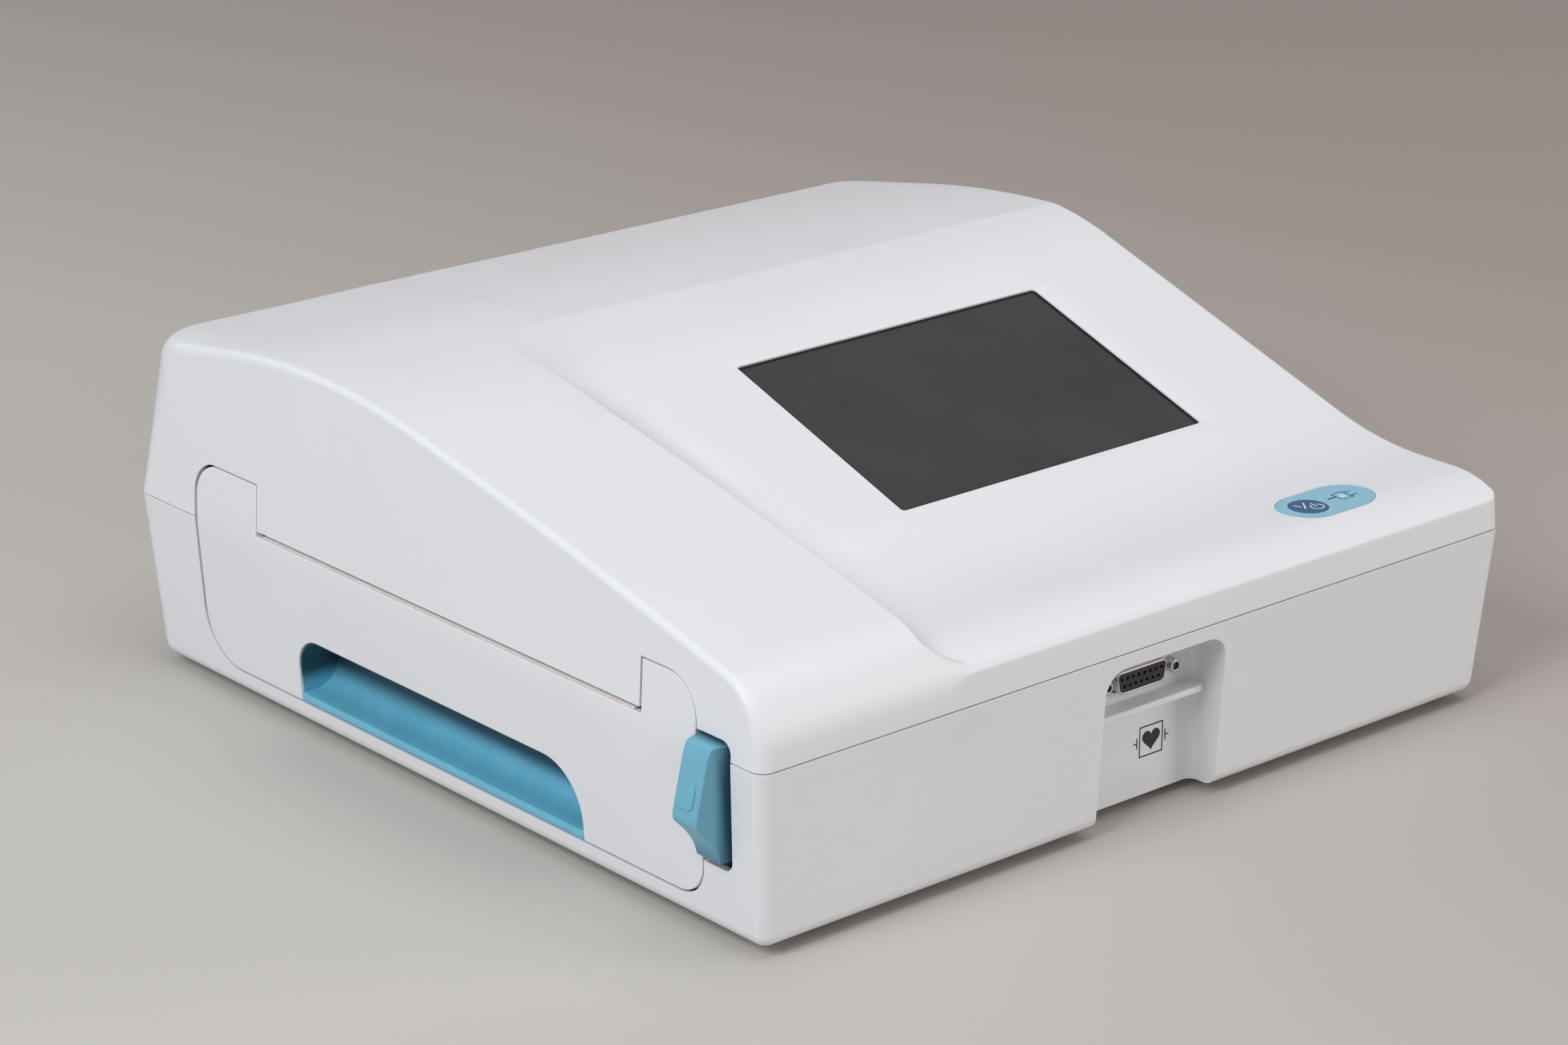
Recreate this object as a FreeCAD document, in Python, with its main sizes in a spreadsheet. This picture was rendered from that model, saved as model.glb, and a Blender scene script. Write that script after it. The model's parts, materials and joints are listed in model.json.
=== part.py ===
import FreeCAD, Part
import math
import os
import re
import Sketcher
from FreeCAD import Vector

# Desk electrocardiograph with a built-in chart printer.
# X runs along the front from left to right, Y from the front to the back, Z up.
# The origin is on the table, under the middle of the whole recorder with its lever.

SIZES = {
    # Case and cover
    "case_width": 360.0,
    "case_depth": 366.0,
    "parting_height": 69.0,
    "foot_height": 4.0,
    "wall": 3.0,
    "case_draft": 4.06,  # degrees, the tub narrows downwards
    "cover_lean": 2.9,  # degrees, the cover narrows upwards
    "corner_radius": 9.0,  # upright corners of both shells
    "floor_radius": 4.0,
    "edge_radius": 5.0,  # long top edges of the cover
    "seam_gap": 0.4,
    "lip_height": 3.0,  # the tub's lip stands this far into the cover
    "lip_root": 8.0,
    "lip_thickness": 1.2,
    "lip_clearance": 0.5,
    # Profile of the cover: lengths run from the back or the front, heights from the table
    "crown_back_height": 132.0,
    "crest_height": 144.1,
    "crest_from_back": 126.0,
    "panel_crest_from_back": 138.2,
    "wing_bend_from_back": 242.0,
    "wing_bend_height": 128.3,
    "nose_height": 93.6,
    "deck_height": 88.2,
    "deck_length": 59.9,
    "back_edge_blend": 6.0,
    "wing_crest_blend": 12.7,
    "panel_crest_blend": 17.0,
    "wing_bend_blend": 73.0,
    "deck_bend_blend": 28.0,
    "nose_blend": 21.0,
    "deck_edge_blend": 10.0,
    "wing_width": 72.0,  # printer hump, up to the shoulder
    "shoulder_width": 22.0,
    # Screen, lying in the slope
    "screen_width": 149.0,
    "screen_height": 96.0,
    "screen_from_right": 63.5,
    "screen_from_bend": 37.0,
    "screen_radius": 2.0,
    "glass_border": 3.0,
    "glass_recess": 1.4,
    "glass_thickness": 1.8,
    "display_thickness": 7.0,
    "display_border": 8.0,
    "bracket_thickness": 1.5,
    "bracket_boss_radius": 3.5,
    # Power key and lamp
    "key_from_right": 68.1,
    "key_from_front": 25.4,
    "overlay_length": 42.8,
    "overlay_width": 19.8,
    "overlay_thickness": 0.6,
    "overlay_recess": 0.9,
    "overlay_gap": 0.2,
    "key_radius": 7.3,
    "key_gap": 0.3,
    "key_offset": 8.8,
    "key_travel": 0.8,
    "key_plate": 2.2,
    "key_stem_radius": 3.0,
    "key_stem_length": 8.0,
    "lamp_offset": 9.1,
    "lamp_radius": 1.5,
    "switch_size": 6.0,
    "switch_height": 4.0,
    "board_thickness": 1.6,
    # Printer door, in the left side
    "door_front_inset": 33.5,
    "door_back_inset": 42.0,
    "door_bottom": 13.0,
    "slot_height": 72.2,
    "slot_opening": 1.6,
    "ear_top": 91.6,
    "front_ear_width": 28.1,
    "back_ear_width": 38.5,
    "door_gap": 0.8,
    "front_ear_radius": 15.0,
    "back_ear_radius": 12.5,
    "door_front_radius": 13.5,
    "door_back_radius": 16.0,
    "door_boss_radius": 4.0,
    "door_boss_inset": 11.0,
    "door_boss_low": 34.0,
    "door_boss_high": 62.0,
    # Finger scoop in the door
    "scoop_from_front": 64.5,
    "scoop_length": 165.0,
    "scoop_rise": 26.3,
    "scoop_depth": 20.0,
    "scoop_wall": 1.8,
    "scoop_lip": 3.6,
    "scoop_back_radius": 13.0,
    "scoop_front_radius": 20.0,
    "scoop_floor_radius": 12.0,
    # Latch lever beside the door
    "lever_reach": 10.0,  # how far the lever stands out of the side
    "pocket_front_inset": 15.0,
    "pocket_bottom": 28.3,
    "pocket_top": 76.0,
    "pocket_radius": 5.0,
    "lever_gap": 0.9,
    "lever_inner": 9.0,
    "lever_pivot_in": 2.5,
    "lever_pivot_drop": 4.1,
    "lever_edge_radius": 1.6,
    "pin_radius": 1.25,
    "lug_radius": 2.6,
    "lug_width": 6.0,
    "lug_clearance": 0.6,
    "running_fit": 0.05,
    "bracket_back_gap": 3.0,
    "bracket_plate": 3.0,
    "leaf_thickness": 0.6,
    "leaf_length": 18.0,
    "leaf_width": 8.0,
    "leaf_height": 46.0,
    "leaf_nose_radius": 2.0,
    "notch_clearance": 0.4,
    # Paper tray
    "paper_width": 215.9,
    "paper_length": 279.4,
    "stack_height": 15.0,
    "tray_play": 1.0,
    "tray_wall": 2.0,
    "tray_lift": 5.5,
    "tray_side_height": 30.0,
    "tray_front_height": 12.0,
    "tray_setback": 25.0,
    "runner_width": 6.0,
    "runner_depth": 5.0,
    "runner_spread": 150.0,
    "slide_clearance": 0.3,
    "rail_wall": 2.7,
    "carrier_inset": 3.0,
    "carrier_plate": 3.0,
    "carrier_setback": 9.0,
    "cheek_thickness": 5.0,
    "cheek_length": 60.0,
    "sheet_thickness": 0.2,
    "sheet_bend": 5.0,
    # Platen and gear train
    "platen_setback": 14.5,
    "platen_height": 65.5,
    "platen_radius": 7.0,
    "shaft_radius": 3.0,
    "bearing_radius": 4.6,
    "sheet_clearance": 0.3,
    "gear_module": 1.0,
    "platen_teeth": 18,
    "idler_teeth": 24,
    "pinion_teeth": 12,
    "mesh_step": 11,
    "gear_width": 6.0,
    "gear_setoff": 5.5,
    "idler_pin_radius": 2.0,
    # Print head and its frame
    "head_thickness": 2.2,
    "head_height": 14.0,
    "heatsink_depth": 8.0,
    "frame_sheet": 2.0,
    "frame_bottom": 55.0,
    "frame_top": 84.0,
    "frame_side_gap": 2.0,
    "frame_leg": 40.0,
    "motor_radius": 17.5,
    "motor_length": 20.0,
    "motor_shaft_radius": 2.0,
    "tear_bar_height": 6.0,
    "tear_bar_depth": 1.6,
    # Patient socket in its bay
    "bay_from_left": 186.0,
    "bay_width": 59.0,
    "bay_top": 63.6,
    "bay_depth": 16.5,
    "bay_wall": 2.5,
    "bay_radius": 9.0,
    "ledge_top": 43.0,
    "ledge_thickness": 2.6,
    "ledge_depth": 8.2,
    "socket_height": 51.2,
    "socket_wide": 25.0,
    "socket_narrow": 22.0,
    "socket_tall": 8.4,
    "socket_shell": 0.6,
    "socket_reach": 6.0,
    "socket_behind": 5.0,
    "flange_width": 39.2,
    "flange_height": 12.5,
    "flange_thickness": 1.0,
    "jack_pitch": 33.3,
    "jack_radius": 2.6,
    "jack_bore": 1.4,
    "jack_reach": 5.0,
    "contact_radius": 0.55,
    "contact_pitch": 2.77,
    "contact_row": 2.84,
    # Rear bay
    "rear_bay_width": 210.0,
    "rear_bay_low": 14.0,
    "rear_bay_high": 58.0,
    "rear_bay_depth": 6.0,
    "inlet_offset": 50.0,
    "inlet_width": 27.0,
    "inlet_height": 20.0,
    "inlet_flange": 3.0,
    "inlet_body": 22.0,
    "inlet_wall": 1.5,
    "blade_width": 4.0,
    "blade_thickness": 2.0,
    "blade_length": 12.0,
    "blade_spread": 14.0,
    "post_offset": 84.0,
    "post_radius": 3.0,
    "post_length": 5.5,
    "usb_offset": -24.0,
    "usb_pitch": 24.0,
    "usb_width": 14.0,
    "usb_height": 6.6,
    "port_depth": 16.0,
    "port_wall": 0.6,
    "network_offset": -72.0,
    "network_width": 16.0,
    "network_height": 13.6,
    "port_height": 48.0,
    # Inside and underneath
    "chassis_start": 84.0,
    "chassis_end_gap": 14.0,
    "chassis_sheet": 1.5,
    "chassis_height": 55.0,
    "chassis_side_gap": 5.0,
    "standoff_height": 5.0,
    "standoff_radius": 3.0,
    "board_inset": 12.0,
    "battery_length": 110.0,
    "battery_width": 46.0,
    "battery_height": 34.0,
    "battery_from_left": 150.0,
    "battery_back_gap": 1.0,
    "battery_play": 1.0,
    "battery_rim": 5.0,
    "battery_door_gap": 0.3,
    "supply_length": 86.0,
    "supply_width": 44.0,
    "supply_height": 32.0,
    "supply_right_gap": 22.0,
    "supply_back_gap": 4.0,
    "screw_radius": 1.5,
    "screw_head_radius": 2.75,
    "screw_head_height": 1.8,
    "screw_length": 8.0,
    "case_screw_radius": 2.0,
    "case_screw_head": 3.6,
    "case_screw_sink": 3.5,
    "case_screw_length": 74.0,
    "boss_radius": 5.0,
    "boss_split": 60.0,
    "boss_inset_side": 17.0,
    "boss_inset_left": 36.0,
    "boss_inset_end": 15.0,
    "foot_radius": 8.0,
    "foot_sink": 1.5,
    "foot_inset": 30.0,
    "speaker_radius": 18.0,
    "speaker_height": 9.0,
    "speaker_from_right": 60.0,
    "speaker_from_front": 30.0,
}

DERIVED = {
    "left_side": "lever_reach / 2 - case_width / 2",
    "right_side": "left_side + case_width",
    "front_side": "0 - case_depth / 2",
    "back_side": "case_depth / 2",
    "floor_top": "foot_height + wall",
    "crown_slope": "(crest_height - crown_back_height) / crest_from_back",
    "panel_crest_y": "back_side - panel_crest_from_back",
    "panel_crest_z": "crown_back_height + crown_slope * panel_crest_from_back",
    "deck_bend_y": "front_side + deck_length",
    "panel_tilt": "atan((panel_crest_z - deck_height) / (panel_crest_y - deck_bend_y))",
    "screen_mid_x": "right_side - screen_from_right - screen_width / 2",
    "screen_up": "screen_from_bend + screen_height / 2",
    "screen_mid_y": "deck_bend_y + screen_up * cos(panel_tilt)",
    "screen_mid_z": "deck_height + screen_up * sin(panel_tilt)",
    "glass_back": "glass_recess + glass_thickness",
    "display_back": "glass_back + display_thickness",
    "overlay_x": "right_side - key_from_right",
    "overlay_y": "front_side + key_from_front",
    "overlay_floor": "deck_height - overlay_recess",
    "overlay_top": "overlay_floor + overlay_thickness",
    "key_x": "overlay_x - key_offset",
    "key_low": "overlay_top - key_plate",
    "key_stem_end": "key_low - key_stem_length",
    "switch_top": "key_stem_end - key_travel - running_fit",
    "key_board_top": "switch_top - switch_height",
    "door_front": "front_side + door_front_inset",
    "door_back": "back_side - door_back_inset",
    "front_ear": "door_front + front_ear_width",
    "back_ear": "door_back - back_ear_width",
    "scoop_front": "door_front + scoop_from_front",
    "scoop_back": "scoop_front + scoop_length",
    "scoop_top": "door_bottom + scoop_rise",
    "pocket_front": "front_side + pocket_front_inset",
    "pocket_back": "door_front - door_gap",
    "lever_front": "pocket_front + lever_gap",
    "lever_back": "pocket_back - lever_gap",
    "lever_mid": "(lever_front + lever_back) / 2",
    "lever_top": "pocket_top - lever_gap",
    "lever_bottom": "pocket_bottom + lever_gap",
    "lever_pivot_x": "left_side + lever_pivot_in",
    "lever_pivot_z": "lever_top - lever_pivot_drop",
    "bracket_x": "left_side + lever_inner + bracket_back_gap",
    "tray_mid": "(front_ear + back_ear) / 2",
    "tray_half": "paper_width / 2 + tray_play + tray_wall",
    "tray_front": "tray_mid - tray_half",
    "tray_back": "tray_mid + tray_half",
    "tray_start": "left_side + tray_setback",
    "tray_end": "tray_start + paper_length + 2 * tray_play + 2 * tray_wall",
    "tray_low": "door_bottom + tray_lift",
    "tray_floor_top": "tray_low + tray_wall",
    "stack_top": "tray_floor_top + stack_height",
    "stack_start": "tray_start + tray_wall + tray_play",
    "carrier_x": "left_side + carrier_setback",
    "carrier_back_x": "carrier_x + carrier_plate",
    "cheek_front": "tray_front - cheek_thickness",
    "cheek_back": "tray_back + cheek_thickness",
    "platen_x": "left_side + platen_setback",
    "sheet_radius": "platen_radius + sheet_clearance",
    "sheet_x": "platen_x + sheet_radius",
    "sheet_z": "platen_height + sheet_radius",
    "gear_low": "cheek_back + gear_setoff",
    "gear_high": "gear_low + gear_width",
    "idler_x": "platen_x + gear_module * (platen_teeth + idler_teeth) / 2",
    "idler_turn": "180 + 180 / idler_teeth",
    "motor_bearing": "idler_turn - mesh_step * 360 / idler_teeth",
    "motor_reach": "gear_module * (idler_teeth + pinion_teeth) / 2",
    "motor_x": "idler_x + motor_reach * cos(motor_bearing)",
    "motor_z": "platen_height + motor_reach * sin(motor_bearing)",
    "pinion_turn": "motor_bearing + 180 + 180 / pinion_teeth",
    "head_x": "sheet_x + sheet_thickness + sheet_clearance",
    "heatsink_x": "head_x + head_thickness",
    "frame_x": "heatsink_x + heatsink_depth",
    "frame_front": "cheek_front - frame_side_gap",
    "frame_back": "cheek_back + frame_side_gap",
    "bay_mid": "left_side + bay_from_left",
    "bay_left": "bay_mid - bay_width / 2",
    "bay_right": "bay_mid + bay_width / 2",
    "bay_back": "front_side + bay_depth",
    "bay_inside": "bay_back + bay_wall",
    "rear_face": "back_side - rear_bay_depth",
    "rear_inside": "rear_face - bay_wall",
    "rear_mid": "(left_side + right_side) / 2",
    "rear_mid_z": "(rear_bay_low + rear_bay_high) / 2",
    "inlet_x": "rear_mid + inlet_offset",
    "chassis_x": "left_side + chassis_start",
    "chassis_end": "right_side - chassis_end_gap",
    "chassis_front": "cheek_front - chassis_side_gap",
    "chassis_back": "gear_high + chassis_side_gap",
    "chassis_top": "chassis_height + chassis_sheet",
    "main_board_low": "chassis_top + standoff_height",
    "battery_x": "left_side + battery_from_left",
    "battery_y": "rear_inside - battery_back_gap - battery_width / 2",
    "battery_hole_x": "battery_length / 2 + battery_play",
    "battery_hole_y": "battery_width / 2 + battery_play",
    "supply_end": "right_side - wall - supply_right_gap",
    "supply_back": "rear_inside - supply_back_gap",
}

doc = FreeCAD.newDocument("ecg_recorder")
sheet = doc.addObject("Spreadsheet::Sheet", "sizes")
NAME = re.compile(r"[A-Za-z_][A-Za-z0-9_]*")
kept = {}


def fill_sheet():
    """Writes each driving size as a number and each derived size as a formula, with its alias."""
    row = 0
    for alias, number in SIZES.items():
        row += 1
        sheet.set(f"A{row}", alias)
        sheet.set(f"B{row}", str(number))
        sheet.setAlias(f"B{row}", alias)
    for alias, formula in DERIVED.items():
        row += 1
        sheet.set(f"A{row}", alias)
        sheet.set(f"B{row}", "=" + formula)
        sheet.setAlias(f"B{row}", alias)
    doc.recompute()


def formula(text):
    """Puts the sheet's name before each size in a formula."""

    def named(match):
        word = match.group()
        return "sizes." + word if word in SIZES or word in DERIVED else word

    return NAME.sub(named, str(text))


def value(text):
    """Number that a formula of sizes gives, in millimetres or degrees."""
    found = sheet.evalExpression(formula(text))
    return float(getattr(found, "Value", found))


def bind(thing, **formulas):
    """Ties properties to sizes: a double underscore in a keyword stands for a dot."""
    for key, text in formulas.items():
        thing.setExpression(key.replace("__", "."), formula(text))
    return thing


def place(thing, x="0", y="0", z="0"):
    return bind(thing, Placement__Base__x=x, Placement__Base__y=y, Placement__Base__z=z)


def keep(name, thing):
    """Makes a finished object the sub-part of that name."""
    thing.Label = name
    kept[name] = thing
    return thing


def box(name, x, y, z):
    """Box between two formulas along each axis."""
    thing = doc.addObject("Part::Box", name)
    bind(thing, Length=f"({x[1]}) - ({x[0]})", Width=f"({y[1]}) - ({y[0]})", Height=f"({z[1]}) - ({z[0]})")
    return place(thing, x[0], y[0], z[0])


TURNS = {
    "X": FreeCAD.Rotation(Vector(0, 1, 0), 90),
    "Y": FreeCAD.Rotation(Vector(1, 0, 0), -90),
    "Z": FreeCAD.Rotation(),
}


def rod(name, axis, middle, radius, low, high, sweep=360, start=0):
    """Cylinder along an axis, from low to high; middle gives its place on the other two axes."""
    thing = doc.addObject("Part::Cylinder", name)
    own = FreeCAD.Rotation(Vector(0, 0, 1), start)
    thing.Placement = FreeCAD.Placement(Vector(), TURNS[axis].multiply(own))
    thing.Angle = sweep
    bind(thing, Radius=radius, Height=f"({high}) - ({low})")
    spot = list(middle)
    spot.insert("XYZ".index(axis), low)
    return place(thing, *spot)


def fuse(name, *things):
    thing = doc.addObject("Part::MultiFuse", name)
    thing.Shapes = list(things)
    return thing


def cut(name, base, *tools):
    thing = doc.addObject("Part::Cut", name)
    thing.Base = base
    thing.Tool = tools[0] if len(tools) == 1 else fuse(name + "_tools", *tools)
    return thing


def common(name, first, second):
    thing = doc.addObject("Part::Common", name)
    thing.Base = first
    thing.Tool = second
    return thing


def origin_plane(body, role):
    return next(item for item in body.Origin.OriginFeatures if item.Role == role + "_Plane")


def outline(body, name, plane, corners):
    """Sketch of straight runs through corners that are each tied to two formulas."""
    sketch = body.newObject("Sketcher::SketchObject", name)
    sketch.AttachmentSupport = (origin_plane(body, plane), [""])
    sketch.MapMode = "FlatFace"
    spots = [Vector(value(u), value(v), 0) for u, v in corners]
    count = len(spots)
    for i in range(count):
        sketch.addGeometry(Part.LineSegment(spots[i], spots[(i + 1) % count]), False)
    for i in range(count):
        sketch.addConstraint(Sketcher.Constraint("Coincident", i, 2, (i + 1) % count, 1))
    for i, (u, v) in enumerate(corners):
        across = sketch.addConstraint(Sketcher.Constraint("DistanceX", -1, 1, i, 1, spots[i].x))
        sketch.setExpression(f"Constraints[{across}]", formula(u))
        along = sketch.addConstraint(Sketcher.Constraint("DistanceY", -1, 1, i, 1, spots[i].y))
        sketch.setExpression(f"Constraints[{along}]", formula(v))
    return sketch


def in_plane(plane, u, v):
    """Point of a body's own plane."""
    return {"XY": Vector(u, v, 0), "XZ": Vector(u, 0, v), "YZ": Vector(0, u, v)}[plane]


def edges_from(shape, spot):
    """Names of the edges that leave a sketch corner across the sketch plane."""
    found = []
    for number, edge in enumerate(shape.Edges, 1):
        ends = [vertex.Point for vertex in edge.Vertexes]
        if len(ends) == 2 and min((end - spot).Length for end in ends) < 0.001:
            found.append((abs((ends[0] - ends[1]).dot(edges_from.normal)), f"Edge{number}"))
    return [max(found)[1]]


def soften(body, name, radius, names):
    """Fillet of the named edges of a body's last feature."""
    last = body.Tip
    round_off = body.newObject("PartDesign::Fillet", name)
    round_off.Base = (last, names)
    bind(round_off, Radius=radius)
    doc.recompute()


def plate(name, plane, corners, low, high, rounds=(), draft=None):
    """Flat body: an outline on one of its planes, padded from low to high, with rounded corners."""
    body = doc.addObject("PartDesign::Body", name)
    sketch = outline(body, name + "_outline", plane, corners)
    pad = body.newObject("PartDesign::Pad", name + "_pad")
    pad.Profile = sketch
    pad.Reversed = plane == "XZ"
    bind(pad, Length=f"({high}) - ({low})")
    if draft:
        pad.Reversed = True
        bind(pad, TaperAngle=draft)
    spot = {"XY": ("0", "0", low), "XZ": ("0", low, "0"), "YZ": (low, "0", "0")}[plane]
    if draft:
        spot = ("0", "0", high)
    place(body, *spot)
    doc.recompute()
    edges_from.normal = in_plane(plane, 1, 1).cross(in_plane(plane, 1, 0))
    for step, (picked, radius) in enumerate(rounds):
        shape = body.Tip.Shape
        names = []
        for index in picked:
            u, v = corners[index]
            names += edges_from(shape, in_plane(plane, value(u), value(v)))
        soften(body, f"{name}_round{step}", radius, names)
    return body


def rectangle(u0, u1, v0, v1):
    return [(u0, v0), (u1, v0), (u1, v1), (u0, v1)]


def ring(name, gap, low, high):
    """Upright rounded block that follows the case's rim, inset by a gap."""
    corners = rectangle(
        f"left_side + {gap}", f"right_side - ({gap})", f"front_side + {gap}", f"back_side - ({gap})"
    )
    return plate(name, "XY", corners, low, high, [((0, 1, 2, 3), f"corner_radius - ({gap})")])


def bottom_rim(body, level):
    """Edges of a body's last feature that lie all round at one height of its own."""
    return [
        f"Edge{number}"
        for number, edge in enumerate(body.Tip.Shape.Edges, 1)
        if all(abs(vertex.Point.z - level) < 0.001 for vertex in edge.Vertexes)
    ]


def tub(name, gap, low):
    """Drafted block that narrows downwards from the parting line."""
    corners = rectangle(
        f"left_side + {gap}", f"right_side - {gap}", f"front_side + {gap}", f"back_side - {gap}"
    )
    rounds = [((0, 1, 2, 3), f"corner_radius - {gap}")]
    return plate(name, "XY", corners, low, "parting_height", rounds, "0 - case_draft")


def cover_corners(share):
    """Corners (y, z, blend) of the cover's profile, from the wing's at share 0 to the panel's at 1."""
    rim = value("parting_height")
    front, back = value("front_side"), value("back_side")
    lean = math.tan(math.radians(value("cover_lean")))

    def front_top(height):
        return front + lean * (height - rim)

    crown = value("crown_back_height")
    foot = [(front, rim, 0.0), (back, rim, 0.0)]
    top = (back - lean * (crown - rim), crown, value("back_edge_blend"))
    wing = foot + [
        top,
        (back - value("crest_from_back"), value("crest_height"), value("wing_crest_blend")),
        (back - value("wing_bend_from_back"), value("wing_bend_height"), value("wing_bend_blend")),
        (front_top(value("nose_height")), value("nose_height"), value("nose_blend")),
    ]
    panel = foot + [
        top,
        (value("panel_crest_y"), value("panel_crest_z"), value("panel_crest_blend")),
        (value("deck_bend_y"), value("deck_height"), value("deck_bend_blend")),
        (front_top(value("deck_height")), value("deck_height"), value("deck_edge_blend")),
    ]
    return [tuple(a + share * (b - a) for a, b in zip(one, two)) for one, two in zip(wing, panel)]


def shrink(corners, gaps):
    """Moves each run of a closed outline inwards by its own gap; run i leaves corner i."""
    count = len(corners)
    runs = []
    for i in range(count):
        y0, z0, _ = corners[i]
        y1, z1, _ = corners[(i + 1) % count]
        length = math.hypot(y1 - y0, z1 - z0)
        runs.append(((y1 - y0) / length, (z1 - z0) / length))
    moved = []
    for i in range(count):
        (ay, az), (by, bz) = runs[i - 1], runs[i]
        y, z, blend = corners[i]
        turn = math.atan2(ay * bz - az * by, ay * by + az * bz)
        before, after = gaps[i - 1], gaps[i]
        if abs(turn) < 0.5:
            reach = after / (1 + ay * by + az * bz)
            y, z = y - reach * (az + bz), z + reach * (ay + by)
        else:
            slide = (before - after * math.cos(turn)) / math.sin(turn)
            y, z = y - after * bz + slide * by, z + after * by + slide * bz
        shorter = blend - after * math.tan(turn / 2)
        moved.append((y, z, max(shorter, 0.4) if blend else 0.0))
    return moved


def cover_section(x, lean, share, top_gap, wall_gap, rim_drop):
    """Closed wire of the cover's profile at one place across it, rounded at its corners."""
    gaps = [-rim_drop, wall_gap, top_gap, top_gap, top_gap, wall_gap]
    corners = shrink(cover_corners(share), gaps)
    rim = value("parting_height")

    def spot(y, z):
        return Vector(x + lean * (z - rim), y, z)

    count = len(corners)
    starts, ends, curves = [], [], []
    for i in range(count):
        y, z, blend = corners[i]
        y0, z0, _ = corners[i - 1]
        y1, z1, _ = corners[(i + 1) % count]
        into, out = math.hypot(y - y0, z - z0), math.hypot(y1 - y, z1 - z)
        first = spot(y + (y0 - y) * blend / into, z + (z0 - z) * blend / into)
        last = spot(y + (y1 - y) * blend / out, z + (z1 - z) * blend / out)
        ends.append(first)
        starts.append(last)
        if blend:
            bow = Part.BezierCurve()
            bow.setPoles([first, spot(y, z), last])
            half = ((y - y0) * (y1 - y) + (z - z0) * (z1 - z)) / (into * out)
            bow.setWeight(2, math.sqrt(max((1 + half) / 2, 0.01)))
            curves.append(bow.toShape())
        else:
            curves.append(None)
    edges = []
    for i in range(count):
        if curves[i]:
            edges.append(curves[i])
        edges.append(Part.LineSegment(starts[i], ends[(i + 1) % count]).toShape())
    return Part.Wire(edges)


ROUND_STEPS = (0, 20, 40, 60, 90)  # degrees round a long edge
SHOULDER_STEPS = 6


def cover_block(name, gap, rim_drop):
    """Solid of the cover: the wing's profile, the shoulder and the panel's profile, lofted across."""
    left, right = value("left_side") + gap, value("right_side") - gap
    lean = math.tan(math.radians(value("cover_lean")))
    corner = value("corner_radius") - gap
    edge = max(value("edge_radius") - gap, 0.5)
    sections = []

    def side(x0, direction, share, steps):
        for step in steps:
            angle = math.radians(step)
            inward = corner * (1 - math.cos(angle))
            wall_gap = gap + corner * (1 - math.sin(angle))
            left_over = edge - min(inward, edge)
            top_gap = gap + edge - math.sqrt(edge**2 - left_over**2)
            sections.append(
                cover_section(x0 + direction * inward, direction * lean, share, top_gap, wall_gap, rim_drop)
            )

    side(left, 1, 0.0, ROUND_STEPS)
    for step in range(SHOULDER_STEPS + 1):
        part = step / SHOULDER_STEPS
        share = part**2 * (3 - 2 * part)
        x = value("left_side") + value("wing_width") + part * value("shoulder_width")
        sections.append(cover_section(x, 0.0, share, gap, gap, rim_drop))
    side(right, -1, 1.0, ROUND_STEPS[::-1])
    thing = doc.addObject("Part::Feature", name)
    thing.Shape = Part.makeLoft(sections, True, True)
    return thing


def door_outline(gap, slot):
    """Corners (y, z) of the door, grown by a gap; slot is the height of its edge under the paper slot."""
    front, back = f"door_front - ({gap})", f"door_back + {gap}"
    low, top = f"door_bottom - ({gap})", f"ear_top + {gap}"
    return [
        (front, low),
        (back, low),
        (back, top),
        (f"back_ear - ({gap})", top),
        (f"back_ear - ({gap})", slot),
        (f"front_ear + {gap}", slot),
        (f"front_ear + {gap}", top),
        (front, top),
    ]


def door_rounds(gap):
    return [
        ((0,), f"door_front_radius + {gap}"),
        ((1,), f"door_back_radius + {gap}"),
        ((2,), f"back_ear_radius + {gap}"),
        ((7,), f"front_ear_radius + {gap}"),
    ]


def tilted(name, width, height, near, far, radius=None):
    """Plate that lies in the sloping panel, between two depths under its surface."""
    corners = rectangle(
        f"0 - ({width}) / 2", f"({width}) / 2", f"0 - ({height}) / 2", f"({height}) / 2"
    )
    rounds = [((0, 1, 2, 3), radius)] if radius else []
    body = plate(name, "XY", corners, f"0 - ({far})", f"0 - ({near})", rounds)
    return lay_on_panel(body, "0", "0", far)


def lay_on_panel(thing, across, up, depth):
    """Turns a flat thing into the slope of the panel and sets it at a place under the surface."""
    thing.Placement = FreeCAD.Placement(Vector(), FreeCAD.Rotation(Vector(1, 0, 0), 10))
    bind(thing, Placement__Rotation__Angle="panel_tilt")
    return place(
        thing,
        f"screen_mid_x + {across}",
        f"screen_mid_y + ({up}) * cos(panel_tilt) + ({depth}) * sin(panel_tilt)",
        f"screen_mid_z + ({up}) * sin(panel_tilt) - ({depth}) * cos(panel_tilt)",
    )


def stadium(name, length, width, low, high):
    """Plate with round ends, centred on the power key's overlay."""
    straight = f"(({length}) - ({width})) / 2"
    middle = box(
        name + "_middle",
        (f"overlay_x - {straight}", f"overlay_x + {straight}"),
        (f"overlay_y - ({width}) / 2", f"overlay_y + ({width}) / 2"),
        (low, high),
    )
    ends = [
        rod(f"{name}_end{side}", "Z", (f"overlay_x + {side} * {straight}", "overlay_y"), f"({width}) / 2", low, high)
        for side in (-1, 1)
    ]
    return fuse(name, middle, *ends)


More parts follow.
